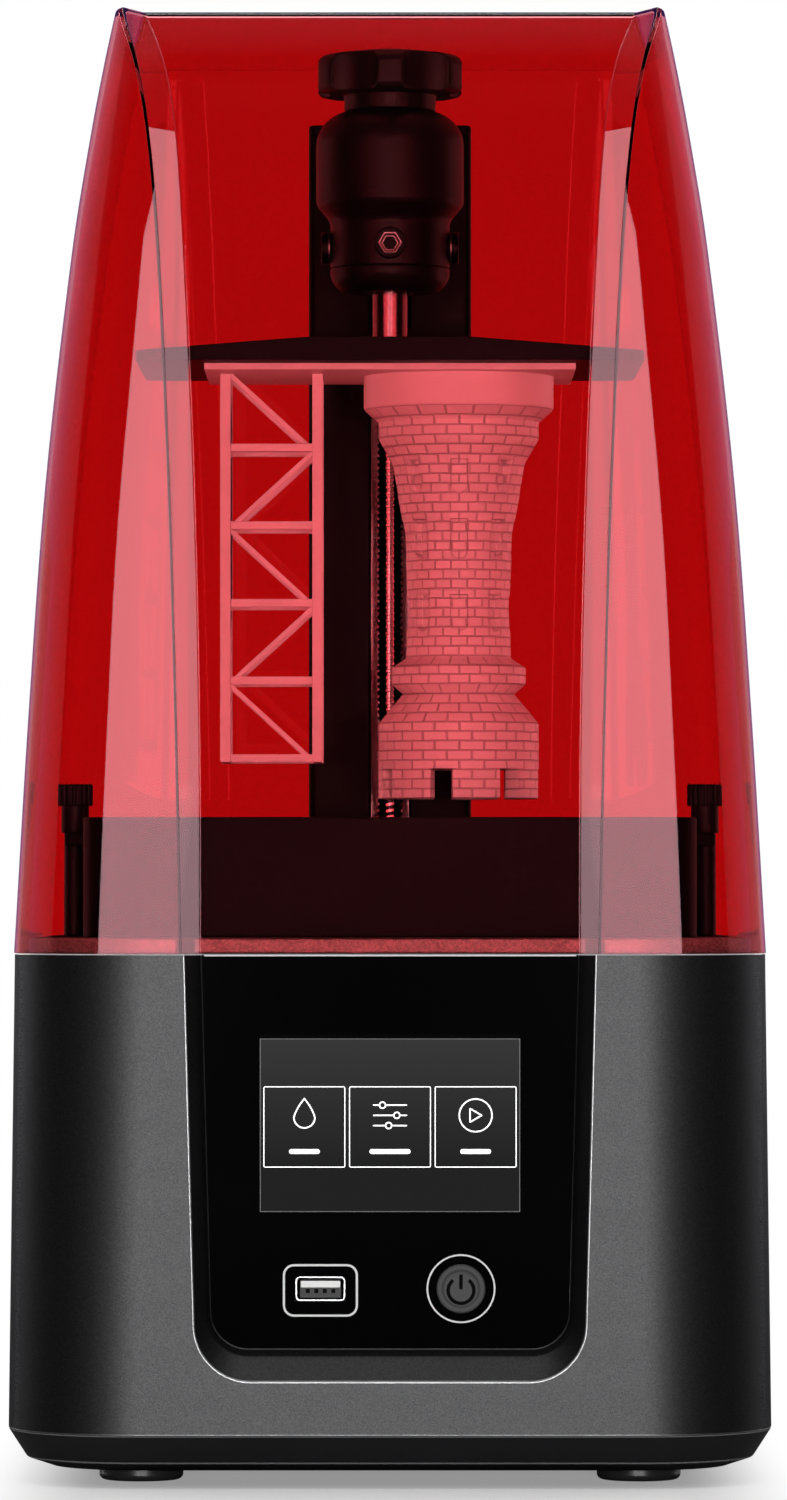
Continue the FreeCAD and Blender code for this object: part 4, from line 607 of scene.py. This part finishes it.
# The sample print: a pale resin tower with cut stone courses and a lattice mast, on a thin raft that
# sticks to the plate. It is left on the plate until it is scraped off.
TOWER_X, TOWER_Y, TOWER_RADIUS, TOWER_SIDE, RAFT_LOW = 21.0, -12.0, 18, -10, 322
STONES_AROUND, COURSE_HIGH, JOINT_WIDE, JOINT_DEEP = 20, 2.9, 0.32, 0.5
print_resin, tree, shader = new_finish("print_resin")
shader.inputs["Specular IOR Level"].default_value = 0.35
where, place = place_parts(tree)
from_x = math_node(tree, "SUBTRACT", place["X"], TOWER_X * MM)
from_y = math_node(tree, "SUBTRACT", place["Y"], TOWER_Y * MM)
around = math_node(tree, "ARCTAN2", from_y, from_x)
along = math_node(tree, "MULTIPLY", around, TOWER_RADIUS * MM)
flat = tree.nodes.new("ShaderNodeCombineXYZ")
tree.links.new(along, flat.inputs["X"])
tree.links.new(place["Z"], flat.inputs["Y"])
courses = tree.nodes.new("ShaderNodeTexBrick")
courses.inputs["Scale"].default_value = 1
courses.inputs["Brick Width"].default_value = TOWER_RADIUS * MM * math.tau / STONES_AROUND
courses.inputs["Row Height"].default_value = COURSE_HIGH * MM
courses.inputs["Mortar Size"].default_value = JOINT_WIDE * MM
courses.inputs["Mortar Smooth"].default_value = 0.6
courses.inputs["Color1"].default_value = (1, 1, 1, 1)
courses.inputs["Color2"].default_value = (0.82, 0.82, 0.82, 1)
courses.inputs["Mortar"].default_value = (0, 0, 0, 1)
tree.links.new(flat.outputs[0], courses.inputs["Vector"])
on_tower = math_node(tree, "GREATER_THAN", place["X"], TOWER_SIDE * MM)
below_raft = math_node(tree, "LESS_THAN", place["Z"], RAFT_LOW * MM)
stone = math_node(tree, "MULTIPLY", on_tower, below_raft)
uncut = math_node(tree, "SUBTRACT", 1, stone)
height = math_node(tree, "MULTIPLY_ADD", courses.outputs["Color"], stone, uncut)
layers = tree.nodes.new("ShaderNodeTexWave")
layers.bands_direction = "Z"
layers.inputs["Scale"].default_value = 700
layers.inputs["Distortion"].default_value = 0.2
tree.links.new(where, layers.inputs["Vector"])
total = math_node(tree, "MULTIPLY_ADD", layers.outputs["Fac"], 0.06, height)
bumped(tree, shader, total, 0.8, JOINT_DEEP * MM)
# The stone joints are darker: painted shade in the cut joints of the resin.
shade = mixed(tree, "MIX", (0.52, 0.45, 0.45, 1), (0.82, 0.73, 0.73, 1), height)
tree.links.new(shade, shader.inputs["Base Color"])
mottle = tree.nodes.new("ShaderNodeTexNoise")
mottle.inputs["Scale"].default_value = 120
tree.links.new(where, mottle.inputs["Vector"])
tree.links.new(math_node(tree, "MULTIPLY_ADD", mottle.outputs["Fac"], 0.2, 0.4), shader.inputs["Roughness"])
sample = softened("sample_print", "resin_tower", "platform", 0.25 * MM, print_resin)
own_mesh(sample)

# The lid: one thin moulding of clear red acrylic that lifts straight off. Its sides curve in towards the
# top, and a recess with sloping sides, deeper at the top, runs down its front.
LID_FOOT, LID_TOP, WALL = 156.5, 438.5, 1.3
EDGE_ROUNDING, CREASE_ROUNDING, TOP_ROUNDING = 0.2, 0.8, 1.8
TOP_STEPS = ((0.9, 0.25), (1.45, 0.75), (TOP_ROUNDING, 1.6))
LID_RINGS, RING_CROWDING = 44, 1.3
BACK_STEPS, FRONT_STEPS, ROUND_STEPS = 12, 16, 3
EDGE_CLEARANCE, SIDE_INSET = 3, 0.6
# The place in the outline where the recess's sloping side starts, after two arcs and a rounded edge.
SIDE_START = BACK_STEPS + 1 + FRONT_STEPS + 1 + ROUND_STEPS
LID_LEVELS = (
    # share of the height, half width, front, back, corner, recess depth, recess half width, recess lean
    (0.000, 112.0, 112.0, 112.0, 40.0, 6.0, 55.8, 0.87),
    (0.250, 107.8, 108.4, 110.2, 37.0, 7.0, 56.2, 0.90),
    (0.500, 102.7, 103.0, 107.4, 33.0, 8.4, 58.0, 0.80),
    (0.750, 94.8, 94.0, 103.0, 27.0, 11.0, 61.3, 0.63),
    (0.875, 89.2, 87.6, 99.6, 21.5, 14.5, 63.9, 0.54),
    (0.950, 85.2, 83.2, 97.0, 17.5, 18.5, 67.6, 0.46),
    (1.000, 82.2, 80.0, 95.0, 15.0, 22.0, 73.0, 0.42),
)


def slope_at(spot, column):
    """How fast one measure of the lid changes at a level, from the levels on either side."""
    before = LID_LEVELS[max(spot - 1, 0)]
    after = LID_LEVELS[min(spot + 1, len(LID_LEVELS) - 1)]
    return (after[column] - before[column]) / (after[0] - before[0])


def lid_measures(share):
    """The lid's measures at a share of its height, on a smooth curve through the levels."""
    spot = 0
    while spot < len(LID_LEVELS) - 2 and share > LID_LEVELS[spot + 1][0]:
        spot += 1
    below, above = LID_LEVELS[spot], LID_LEVELS[spot + 1]
    run = above[0] - below[0]
    t = (share - below[0]) / run
    found = []
    for column in range(1, 8):
        rise = slope_at(spot, column) * run, slope_at(spot + 1, column) * run
        found.append(
            (2 * t ** 3 - 3 * t ** 2 + 1) * below[column] + (t ** 3 - 2 * t ** 2 + t) * rise[0]
            + (3 * t ** 2 - 2 * t ** 3) * above[column] + (t ** 3 - t ** 2) * rise[1])
    return found


def arc_points(x, y, radius, first, last, steps):
    """Points on an arc, with angles in degrees."""
    points = []
    for step in range(steps + 1):
        angle = math.radians(first + (last - first) * step / steps)
        points.append((x + radius * math.cos(angle), y + radius * math.sin(angle)))
    return points


def eased(before, corner, after, radius, steps):
    """A corner between two straight runs, rounded."""
    corner = Vector(corner)
    back = (Vector(before) - corner).normalized()
    on = (Vector(after) - corner).normalized()
    half = back.angle(on) / 2
    centre = corner + (back + on).normalized() * radius / math.sin(half)
    first = corner + back * radius / math.tan(half) - centre
    last = corner + on * radius / math.tan(half) - centre
    sweep = first.angle_signed(last)
    start_angle = math.atan2(first.y, first.x)
    return [
        (centre.x + radius * math.cos(start_angle - sweep * s / steps),
         centre.y + radius * math.sin(start_angle - sweep * s / steps)) for s in range(steps + 1)]


def lid_outline(share, inset):
    """The lid's outline at one height: the right half from the back to the front, then its mirror image."""
    half, front, back, corner, depth, inner, lean = lid_measures(share)
    half, front, back, corner = half - inset, front - inset, back - inset, corner - inset
    floor = depth + inset - front - inset
    inner += inset * SIDE_INSET
    centre_x, centre_y = half - corner, corner - front
    points = arc_points(half - corner, back - corner, corner, 90, 0, BACK_STEPS)
    edge = (inner + lean * (floor + front), -front)
    last = -90.0
    if edge[0] > centre_x:
        a = 1 + lean * lean
        b = lean * (inner - centre_x) - (floor - centre_y)
        c = (inner - centre_x) ** 2 + (floor - centre_y) ** 2 - corner ** 2
        u = (-b + math.sqrt(b * b - a * c)) / a
        edge = (inner + lean * u, floor - u)
        last = math.degrees(math.atan2(edge[1] - centre_y, edge[0] - centre_x))
    points += arc_points(centre_x, centre_y, corner, 0, last + EDGE_CLEARANCE, FRONT_STEPS)
    points += eased(points[-1], edge, (inner, floor), EDGE_ROUNDING, ROUND_STEPS)
    points += eased(edge, (inner, floor), (0, floor), CREASE_ROUNDING, ROUND_STEPS)
    points.append((0, floor))
    mirrored = [(-x, y) for x, y in reversed(points[:-1])]
    return points + mirrored


def lid_skin(name, inset, top):
    """One skin of the lid: its foot's outline, extruded upwards level by level and closed at the top."""
    rings = []
    shoulder = top - TOP_ROUNDING
    for step in range(LID_RINGS + 1):
        share = 1 - (1 - step / LID_RINGS) ** RING_CROWDING
        rings.append((LID_FOOT + (shoulder - LID_FOOT) * share, lid_outline(share, inset)))
    for lift, tuck in TOP_STEPS:
        rings.append((shoulder + lift, lid_outline(1, inset + tuck)))
    bpy.ops.mesh.primitive_circle_add(vertices=len(rings[0][1]), radius=0.1, fill_type="NOTHING")
    skin = bpy.context.object
    skin.name = name
    skin.data.materials.append(lid_red)
    skin.data.materials.append(lid_bevel_sheen)
    order = skin.data.attributes.new("order", "INT", "POINT")
    for corner in skin.data.vertices:
        order.data[corner.index].value = corner.index
        corner.co = (*(Vector(rings[0][1][corner.index]) * MM), LID_FOOT * MM)
    bpy.ops.object.mode_set(mode="EDIT")
    bpy.ops.mesh.select_all(action="SELECT")
    for height, ring in rings[1:]:
        bpy.ops.mesh.extrude_edges_move()
        shape = bmesh.from_edit_mesh(skin.data)
        number = shape.verts.layers.int["order"]
        for corner in shape.verts:
            if corner.select:
                x, y = ring[corner[number]]
                corner.co = Vector((x, y, height)) * MM
        bmesh.update_edit_mesh(skin.data)
    bpy.ops.mesh.fill(use_beauty=True)
    bpy.ops.mesh.select_all(action="SELECT")
    bpy.ops.mesh.normals_make_consistent(inside=inset > 0)
    shape = bmesh.from_edit_mesh(skin.data)
    number = shape.verts.layers.int["order"]
    side = {SIDE_START, SIDE_START + 1}
    far_side = {len(rings[0][1]) - 1 - spot for spot in side}
    for face in shape.faces:
        spots = {corner[number] for corner in face.verts}
        if inset == 0 and (spots <= side or spots <= far_side):
            face.material_index = 1
    bmesh.update_edit_mesh(skin.data)
    bpy.ops.object.mode_set(mode="OBJECT")
    return skin


def either(tree, factor, first, second):
    """A Mix Shader node between two shaders; gives its output."""
    node = tree.nodes.new("ShaderNodeMixShader")
    tree.links.new(factor, node.inputs["Fac"])
    tree.links.new(first, node.inputs[1])
    tree.links.new(second, node.inputs[2])
    return node.outputs["Shader"]


PALE_RED, DEEP_RED = (0.66, 0.19, 0.21, 1), (0.69, 0.012, 0.014, 1)
PALE_UNTIL, DEEP_FROM = -0.03, 0.06


def acrylic(name):
    """Clear red acrylic, paler in front, that lets light through in place of a full shadow."""
    material, tree, shader = new_finish(name)
    shader.inputs["Roughness"].default_value = 0
    shader.inputs["IOR"].default_value = 1.49
    shader.inputs["Transmission Weight"].default_value = 1
    where, place = place_parts(tree)
    flow = tree.nodes.new("ShaderNodeTexNoise")
    flow.inputs["Scale"].default_value = 9
    flow.inputs["Detail"].default_value = 2
    tree.links.new(where, flow.inputs["Vector"])
    drift = math_node(tree, "MULTIPLY_ADD", flow.outputs["Fac"], 0.02, place["Y"])
    depth = tree.nodes.new("ShaderNodeMapRange")
    depth.inputs["From Min"].default_value = PALE_UNTIL
    depth.inputs["From Max"].default_value = DEEP_FROM
    tree.links.new(drift, depth.inputs["Value"])
    tint = mixed(tree, "MIX", PALE_RED, DEEP_RED, depth.outputs[0])
    tree.links.new(tint, shader.inputs["Base Color"])
    let_through = tree.nodes.new("ShaderNodeBsdfTransparent")
    let_through.inputs["Color"].default_value = (0.97, 0.9, 0.9, 1)
    path = tree.nodes.new("ShaderNodeLightPath")
    surface = either(
        tree, path.outputs["Is Shadow Ray"], shader.outputs["BSDF"], let_through.outputs["BSDF"])
    tree.links.new(surface, tree.nodes["Material Output"].inputs["Surface"])
    return material


lid_red = acrylic("lid_red")
# The recess's sloping sides get a clear coat whose gloss is leaned to the front, a painted sheen that
# makes them shine from the foot nearly to the top.
SHINE_LEAN, SHINE_TOP = math.radians(15), 401
lid_bevel_sheen = acrylic("lid_bevel_sheen")
tree = lid_bevel_sheen.node_tree
shader = tree.nodes["Principled BSDF"]
shader.inputs["Coat Roughness"].default_value = 0
shader.inputs["Coat IOR"].default_value = 1.52
place = place_parts(tree)[1]
hand = math_node(tree, "SIGN", place["X"])
lean = tree.nodes.new("ShaderNodeCombineXYZ")
tree.links.new(math_node(tree, "MULTIPLY", hand, -math.sin(SHINE_LEAN)), lean.inputs["X"])
lean.inputs["Y"].default_value = -math.cos(SHINE_LEAN)
tree.links.new(lean.outputs[0], shader.inputs["Coat Normal"])
shining = math_node(tree, "LESS_THAN", place["Z"], SHINE_TOP * MM)
tree.links.new(shining, shader.inputs["Coat Weight"])

outer = lid_skin("lid_cover", 0, LID_TOP)
inner = lid_skin("lid_inner", WALL, LID_TOP - WALL)
take(outer)
inner.select_set(True)
bpy.ops.object.join()
lid = bpy.context.object
lid.data.name = "lid_cover"
bpy.ops.object.mode_set(mode="EDIT")
bpy.ops.mesh.select_all(action="DESELECT")
shape = bmesh.from_edit_mesh(lid.data)
for edge in shape.edges:
    edge.select_set(edge.is_boundary)
bmesh.update_edit_mesh(lid.data)
bpy.ops.mesh.bridge_edge_loops()
bpy.ops.object.mode_set(mode="OBJECT")
lid.data.attributes.remove(lid.data.attributes["order"])
use(lid, "BEVEL", width=0.5 * MM, segments=3, limit_method="ANGLE", angle_limit=math.radians(55),
    use_clamp_overlap=True)
bpy.ops.object.shade_smooth_by_angle(angle=math.radians(40))
use(lid, "WEIGHTED_NORMAL", keep_sharp=True)
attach(lid, "lid")
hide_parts("lid")

# The stage: a white floor that keeps the object's shadow and runs out to plain white, two curved light
# cards beside the camera, a plain one behind at each side, and soft lamps in front and above.


def eased_range(tree, value, low, high, least=0, most=1):
    """A value brought from one range to another, with soft ends."""
    node = tree.nodes.new("ShaderNodeMapRange")
    node.interpolation_type = "SMOOTHSTEP"
    for label, number in (("From Min", low), ("From Max", high), ("To Min", least), ("To Max", most)):
        node.inputs[label].default_value = number
    tree.links.new(value, node.inputs["Value"])
    return node.outputs[0]


def seen_plainly(tree, path, behind):
    """1 for what the camera sees straight or through the lid, or mirrored in the lid if it is behind."""
    unmirrored = math_node(tree, "LESS_THAN", path.outputs["Glossy Depth"], 0.5)
    direct = math_node(tree, "MAXIMUM", unmirrored, behind)
    through = math_node(tree, "MULTIPLY", path.outputs["Is Transmission Ray"], direct)
    return math_node(tree, "MAXIMUM", path.outputs["Is Camera Ray"], through)


FLOOR_SIZE, SHADOW_DEPTH_SHARE, FAR_BEHIND = 14, 0.6, 0.3
SHADOW_UNTIL, WHITE_FROM, SHADOW_WHITE = 0.085, 0.125, 0.27
FLOOR_TONE, FLOOR_TONE_IN_GLOSS = 0.8, 0.08
bpy.ops.mesh.primitive_plane_add(size=FLOOR_SIZE, location=(0, 0, 0))
floor = bpy.context.object
floor.name = "floor"
floor_white, tree, shader = new_finish("floor_white")
shader.inputs["Roughness"].default_value = 0.9
shader.inputs["Specular IOR Level"].default_value = 0
plain = tree.nodes.new("ShaderNodeEmission")
plain.inputs["Strength"].default_value = 1
place = place_parts(tree)[1]
across = math_node(tree, "ABSOLUTE", place["X"])
along = math_node(tree, "MULTIPLY", math_node(tree, "ABSOLUTE", place["Y"]), SHADOW_DEPTH_SHARE)
outward = math_node(tree, "MAXIMUM", across, along)
fade = eased_range(tree, outward, SHADOW_UNTIL, WHITE_FROM, SHADOW_WHITE)
path = tree.nodes.new("ShaderNodeLightPath")
darker = FLOOR_TONE_IN_GLOSS - FLOOR_TONE
tone = math_node(tree, "MULTIPLY_ADD", path.outputs["Is Glossy Ray"], darker, FLOOR_TONE)
tree.links.new(tone, shader.inputs["Base Color"])
far_behind = math_node(tree, "GREATER_THAN", place["Y"], FAR_BEHIND)
white_out = math_node(tree, "MULTIPLY", fade, seen_plainly(tree, path, far_behind))
from_above = either(tree, white_out, shader.outputs["BSDF"], plain.outputs["Emission"])
clear = tree.nodes.new("ShaderNodeBsdfTransparent")
facing = tree.nodes.new("ShaderNodeNewGeometry")
surface = either(tree, facing.outputs["Backfacing"], from_above, clear.outputs["BSDF"])
tree.links.new(surface, tree.nodes["Material Output"].inputs["Surface"])
wear(floor, floor_white)


def give_light(card, colour, in_gloss, elsewhere):
    """Make a card shine with one strength in the lid's clear gloss and another elsewhere, itself unseen."""
    glow, tree, shader = new_finish(card.name)
    tree.nodes.remove(shader)
    lamp = tree.nodes.new("ShaderNodeEmission")
    lamp.inputs["Color"].default_value = (*colour, 1)
    path = tree.nodes.new("ShaderNodeLightPath")
    mirrored = path.outputs["Is Singular Ray"]
    level = math_node(tree, "MULTIPLY_ADD", mirrored, in_gloss - elsewhere, elsewhere)
    tree.links.new(level, lamp.inputs["Strength"])
    tree.links.new(lamp.outputs["Emission"], tree.nodes["Material Output"].inputs["Surface"])
    wear(card, glow)
    card.visible_camera = False
    card.visible_shadow = False


CARD_Y, CARD_WIDE, CARD_HIGH, CARD_FOOT, CARD_EDGE = -1.6, 1.5, 1.2, 0.03, 0.105
CARD_PINK, CARD_LIGHT = (1, 0.63, 0.7), 5.6


def light_card(name, side):
    """A light card: a quarter of a flat oval beside the camera, seen only in the lid's clear gloss."""
    bpy.ops.mesh.primitive_circle_add(
        vertices=96, radius=1, fill_type="NGON", location=(0, CARD_Y, 0), rotation=(math.pi / 2, 0, 0))
    card = bpy.context.object
    card.name = name
    card.scale = (CARD_WIDE, CARD_HIGH, 1)
    bpy.ops.object.transform_apply(location=True, rotation=True, scale=True)
    bpy.ops.object.mode_set(mode="EDIT")
    bpy.ops.mesh.select_all(action="SELECT")
    bpy.ops.mesh.bisect(plane_co=(0, 0, CARD_FOOT), plane_no=(0, 0, 1), clear_inner=True)
    bpy.ops.mesh.select_all(action="SELECT")
    bpy.ops.mesh.bisect(plane_co=(side * CARD_EDGE, 0, 0), plane_no=(side, 0, 0), clear_inner=True)
    bpy.ops.object.mode_set(mode="OBJECT")
    give_light(card, CARD_PINK, CARD_LIGHT, 0)


light_card("card_left", -1)
light_card("card_right", 1)

RIM_AWAY, RIM_MIDDLE, RIM_WIDE, RIM_HIGH, RIM_LIGHT = 1.7, 0.3, 1.2, 0.5, 14


def rim_card(name, side):
    """A light card behind the object: it lights the housing's corners and never mirrors in the lid."""
    bpy.ops.mesh.primitive_plane_add(
        size=1, location=(side * RIM_AWAY, RIM_AWAY, RIM_MIDDLE),
        rotation=(math.pi / 2, 0, -side * math.pi / 4))
    card = bpy.context.object
    card.name = name
    card.scale = (RIM_WIDE, RIM_HIGH, 1)
    give_light(card, (1, 1, 1), 0, RIM_LIGHT)
    card.visible_transmission = False


rim_card("rim_left", -1)
rim_card("rim_right", 1)


def lamp_panel(name, place, aim, width, height, watts):
    """A flat soft lamp."""
    lamp = bpy.data.lights.new(name, "AREA")
    lamp.shape = "RECTANGLE"
    lamp.size = width
    lamp.size_y = height
    lamp.energy = watts
    holder = bpy.data.objects.new(name, lamp)
    scene.collection.objects.link(holder)
    holder.location = place
    holder.rotation_euler = (Vector(aim) - Vector(place)).to_track_quat("-Z", "Y").to_euler()


for name, side in (("key_left", -1), ("key_right", 1)):
    lamp_panel(name, (side * 0.34, -2.4, 0.17), (0, 0, 0.12), 0.22, 0.22, 15)
lamp_panel("lamp_above", (0, -0.1, 1.9), (0, 0, 0.3), 1.3, 1.0, 14)

# The surroundings: plain white to the camera and through the lid, dim for soft light, and for gloss dark in
# front and bright behind. What the clear lid mirrors is tinted, violet near the ground and white overhead.
SKY_SOFT, SKY_WHITE = 0.35, 1
GLOSS_DARK, GLOSS_BRIGHT, DARK_UNTIL, BRIGHT_FROM = 0.01, 0.8, 0.15, 0.75
REARWARD, RISE_SHARE, VIOLET_UNTIL, WHITE_ABOVE = 0.05, 0.6, 0.5, 0.9
LOW_VIOLET, HIGH_WHITE = (0.13, 0.05, 0.27, 1), (1, 0.95, 0.97, 1)
world = bpy.data.worlds.new("studio")
scene.world = world
world.use_nodes = True
tree = world.node_tree
tree.nodes.clear()
path = tree.nodes.new("ShaderNodeLightPath")
where = tree.nodes.new("ShaderNodeTexCoord")
split = tree.nodes.new("ShaderNodeSeparateXYZ")
tree.links.new(where.outputs["Generated"], split.inputs[0])
rearward = math_node(tree, "GREATER_THAN", split.outputs["Y"], REARWARD)
seen = seen_plainly(tree, path, rearward)
behind = math_node(tree, "MULTIPLY_ADD", split.outputs["Z"], RISE_SHARE, split.outputs["Y"])
shine = eased_range(tree, behind, DARK_UNTIL, BRIGHT_FROM, GLOSS_DARK, GLOSS_BRIGHT)
level = tree.nodes.new("ShaderNodeMix")
level.inputs["A"].default_value = SKY_SOFT
in_gloss = math_node(tree, "MAXIMUM", path.outputs["Is Glossy Ray"], path.outputs["Is Transmission Ray"])
tree.links.new(in_gloss, level.inputs["Factor"])
tree.links.new(shine, level.inputs["B"])
bright = tree.nodes.new("ShaderNodeMix")
bright.inputs["B"].default_value = SKY_WHITE
tree.links.new(seen, bright.inputs["Factor"])
tree.links.new(level.outputs["Result"], bright.inputs["A"])
overhead = eased_range(tree, split.outputs["Z"], VIOLET_UNTIL, WHITE_ABOVE)
mirror_tone = mixed(tree, "MIX", LOW_VIOLET, HIGH_WHITE, overhead)
mirrored = math_node(tree, "SUBTRACT", path.outputs["Is Singular Ray"], seen)
tinge = mixed(tree, "MIX", (1, 1, 1, 1), mirror_tone, mirrored)
sky = tree.nodes.new("ShaderNodeBackground")
tree.links.new(tinge, sky.inputs["Color"])
tree.links.new(bright.outputs["Result"], sky.inputs["Strength"])
tree.links.new(sky.outputs["Background"], tree.nodes.new("ShaderNodeOutputWorld").inputs["Surface"])

# The camera: level with the middle of the object, far off, straight in front. Its lens and its shifts are
# fitted to a picture of this size, in pixels.
PICTURE_WIDE, PICTURE_HIGH, SENSOR = 787, 1500, 36
FOCAL_PIXELS, HORIZON_PIXEL, CENTRE_PIXEL = 7522, 884, 390
camera_data = bpy.data.cameras.new("camera")
camera_data.sensor_fit = "VERTICAL"
camera_data.sensor_height = SENSOR
camera_data.lens = FOCAL_PIXELS / PICTURE_HIGH * SENSOR
camera_data.shift_y = (HORIZON_PIXEL - PICTURE_HIGH / 2) / PICTURE_HIGH
camera_data.shift_x = (PICTURE_WIDE / 2 - CENTRE_PIXEL) / PICTURE_HIGH
camera = bpy.data.objects.new("camera", camera_data)
scene.collection.objects.link(camera)
camera.location = (0, -2.313, 0.177)
camera.rotation_euler = (math.pi / 2, 0, 0)
scene.camera = camera
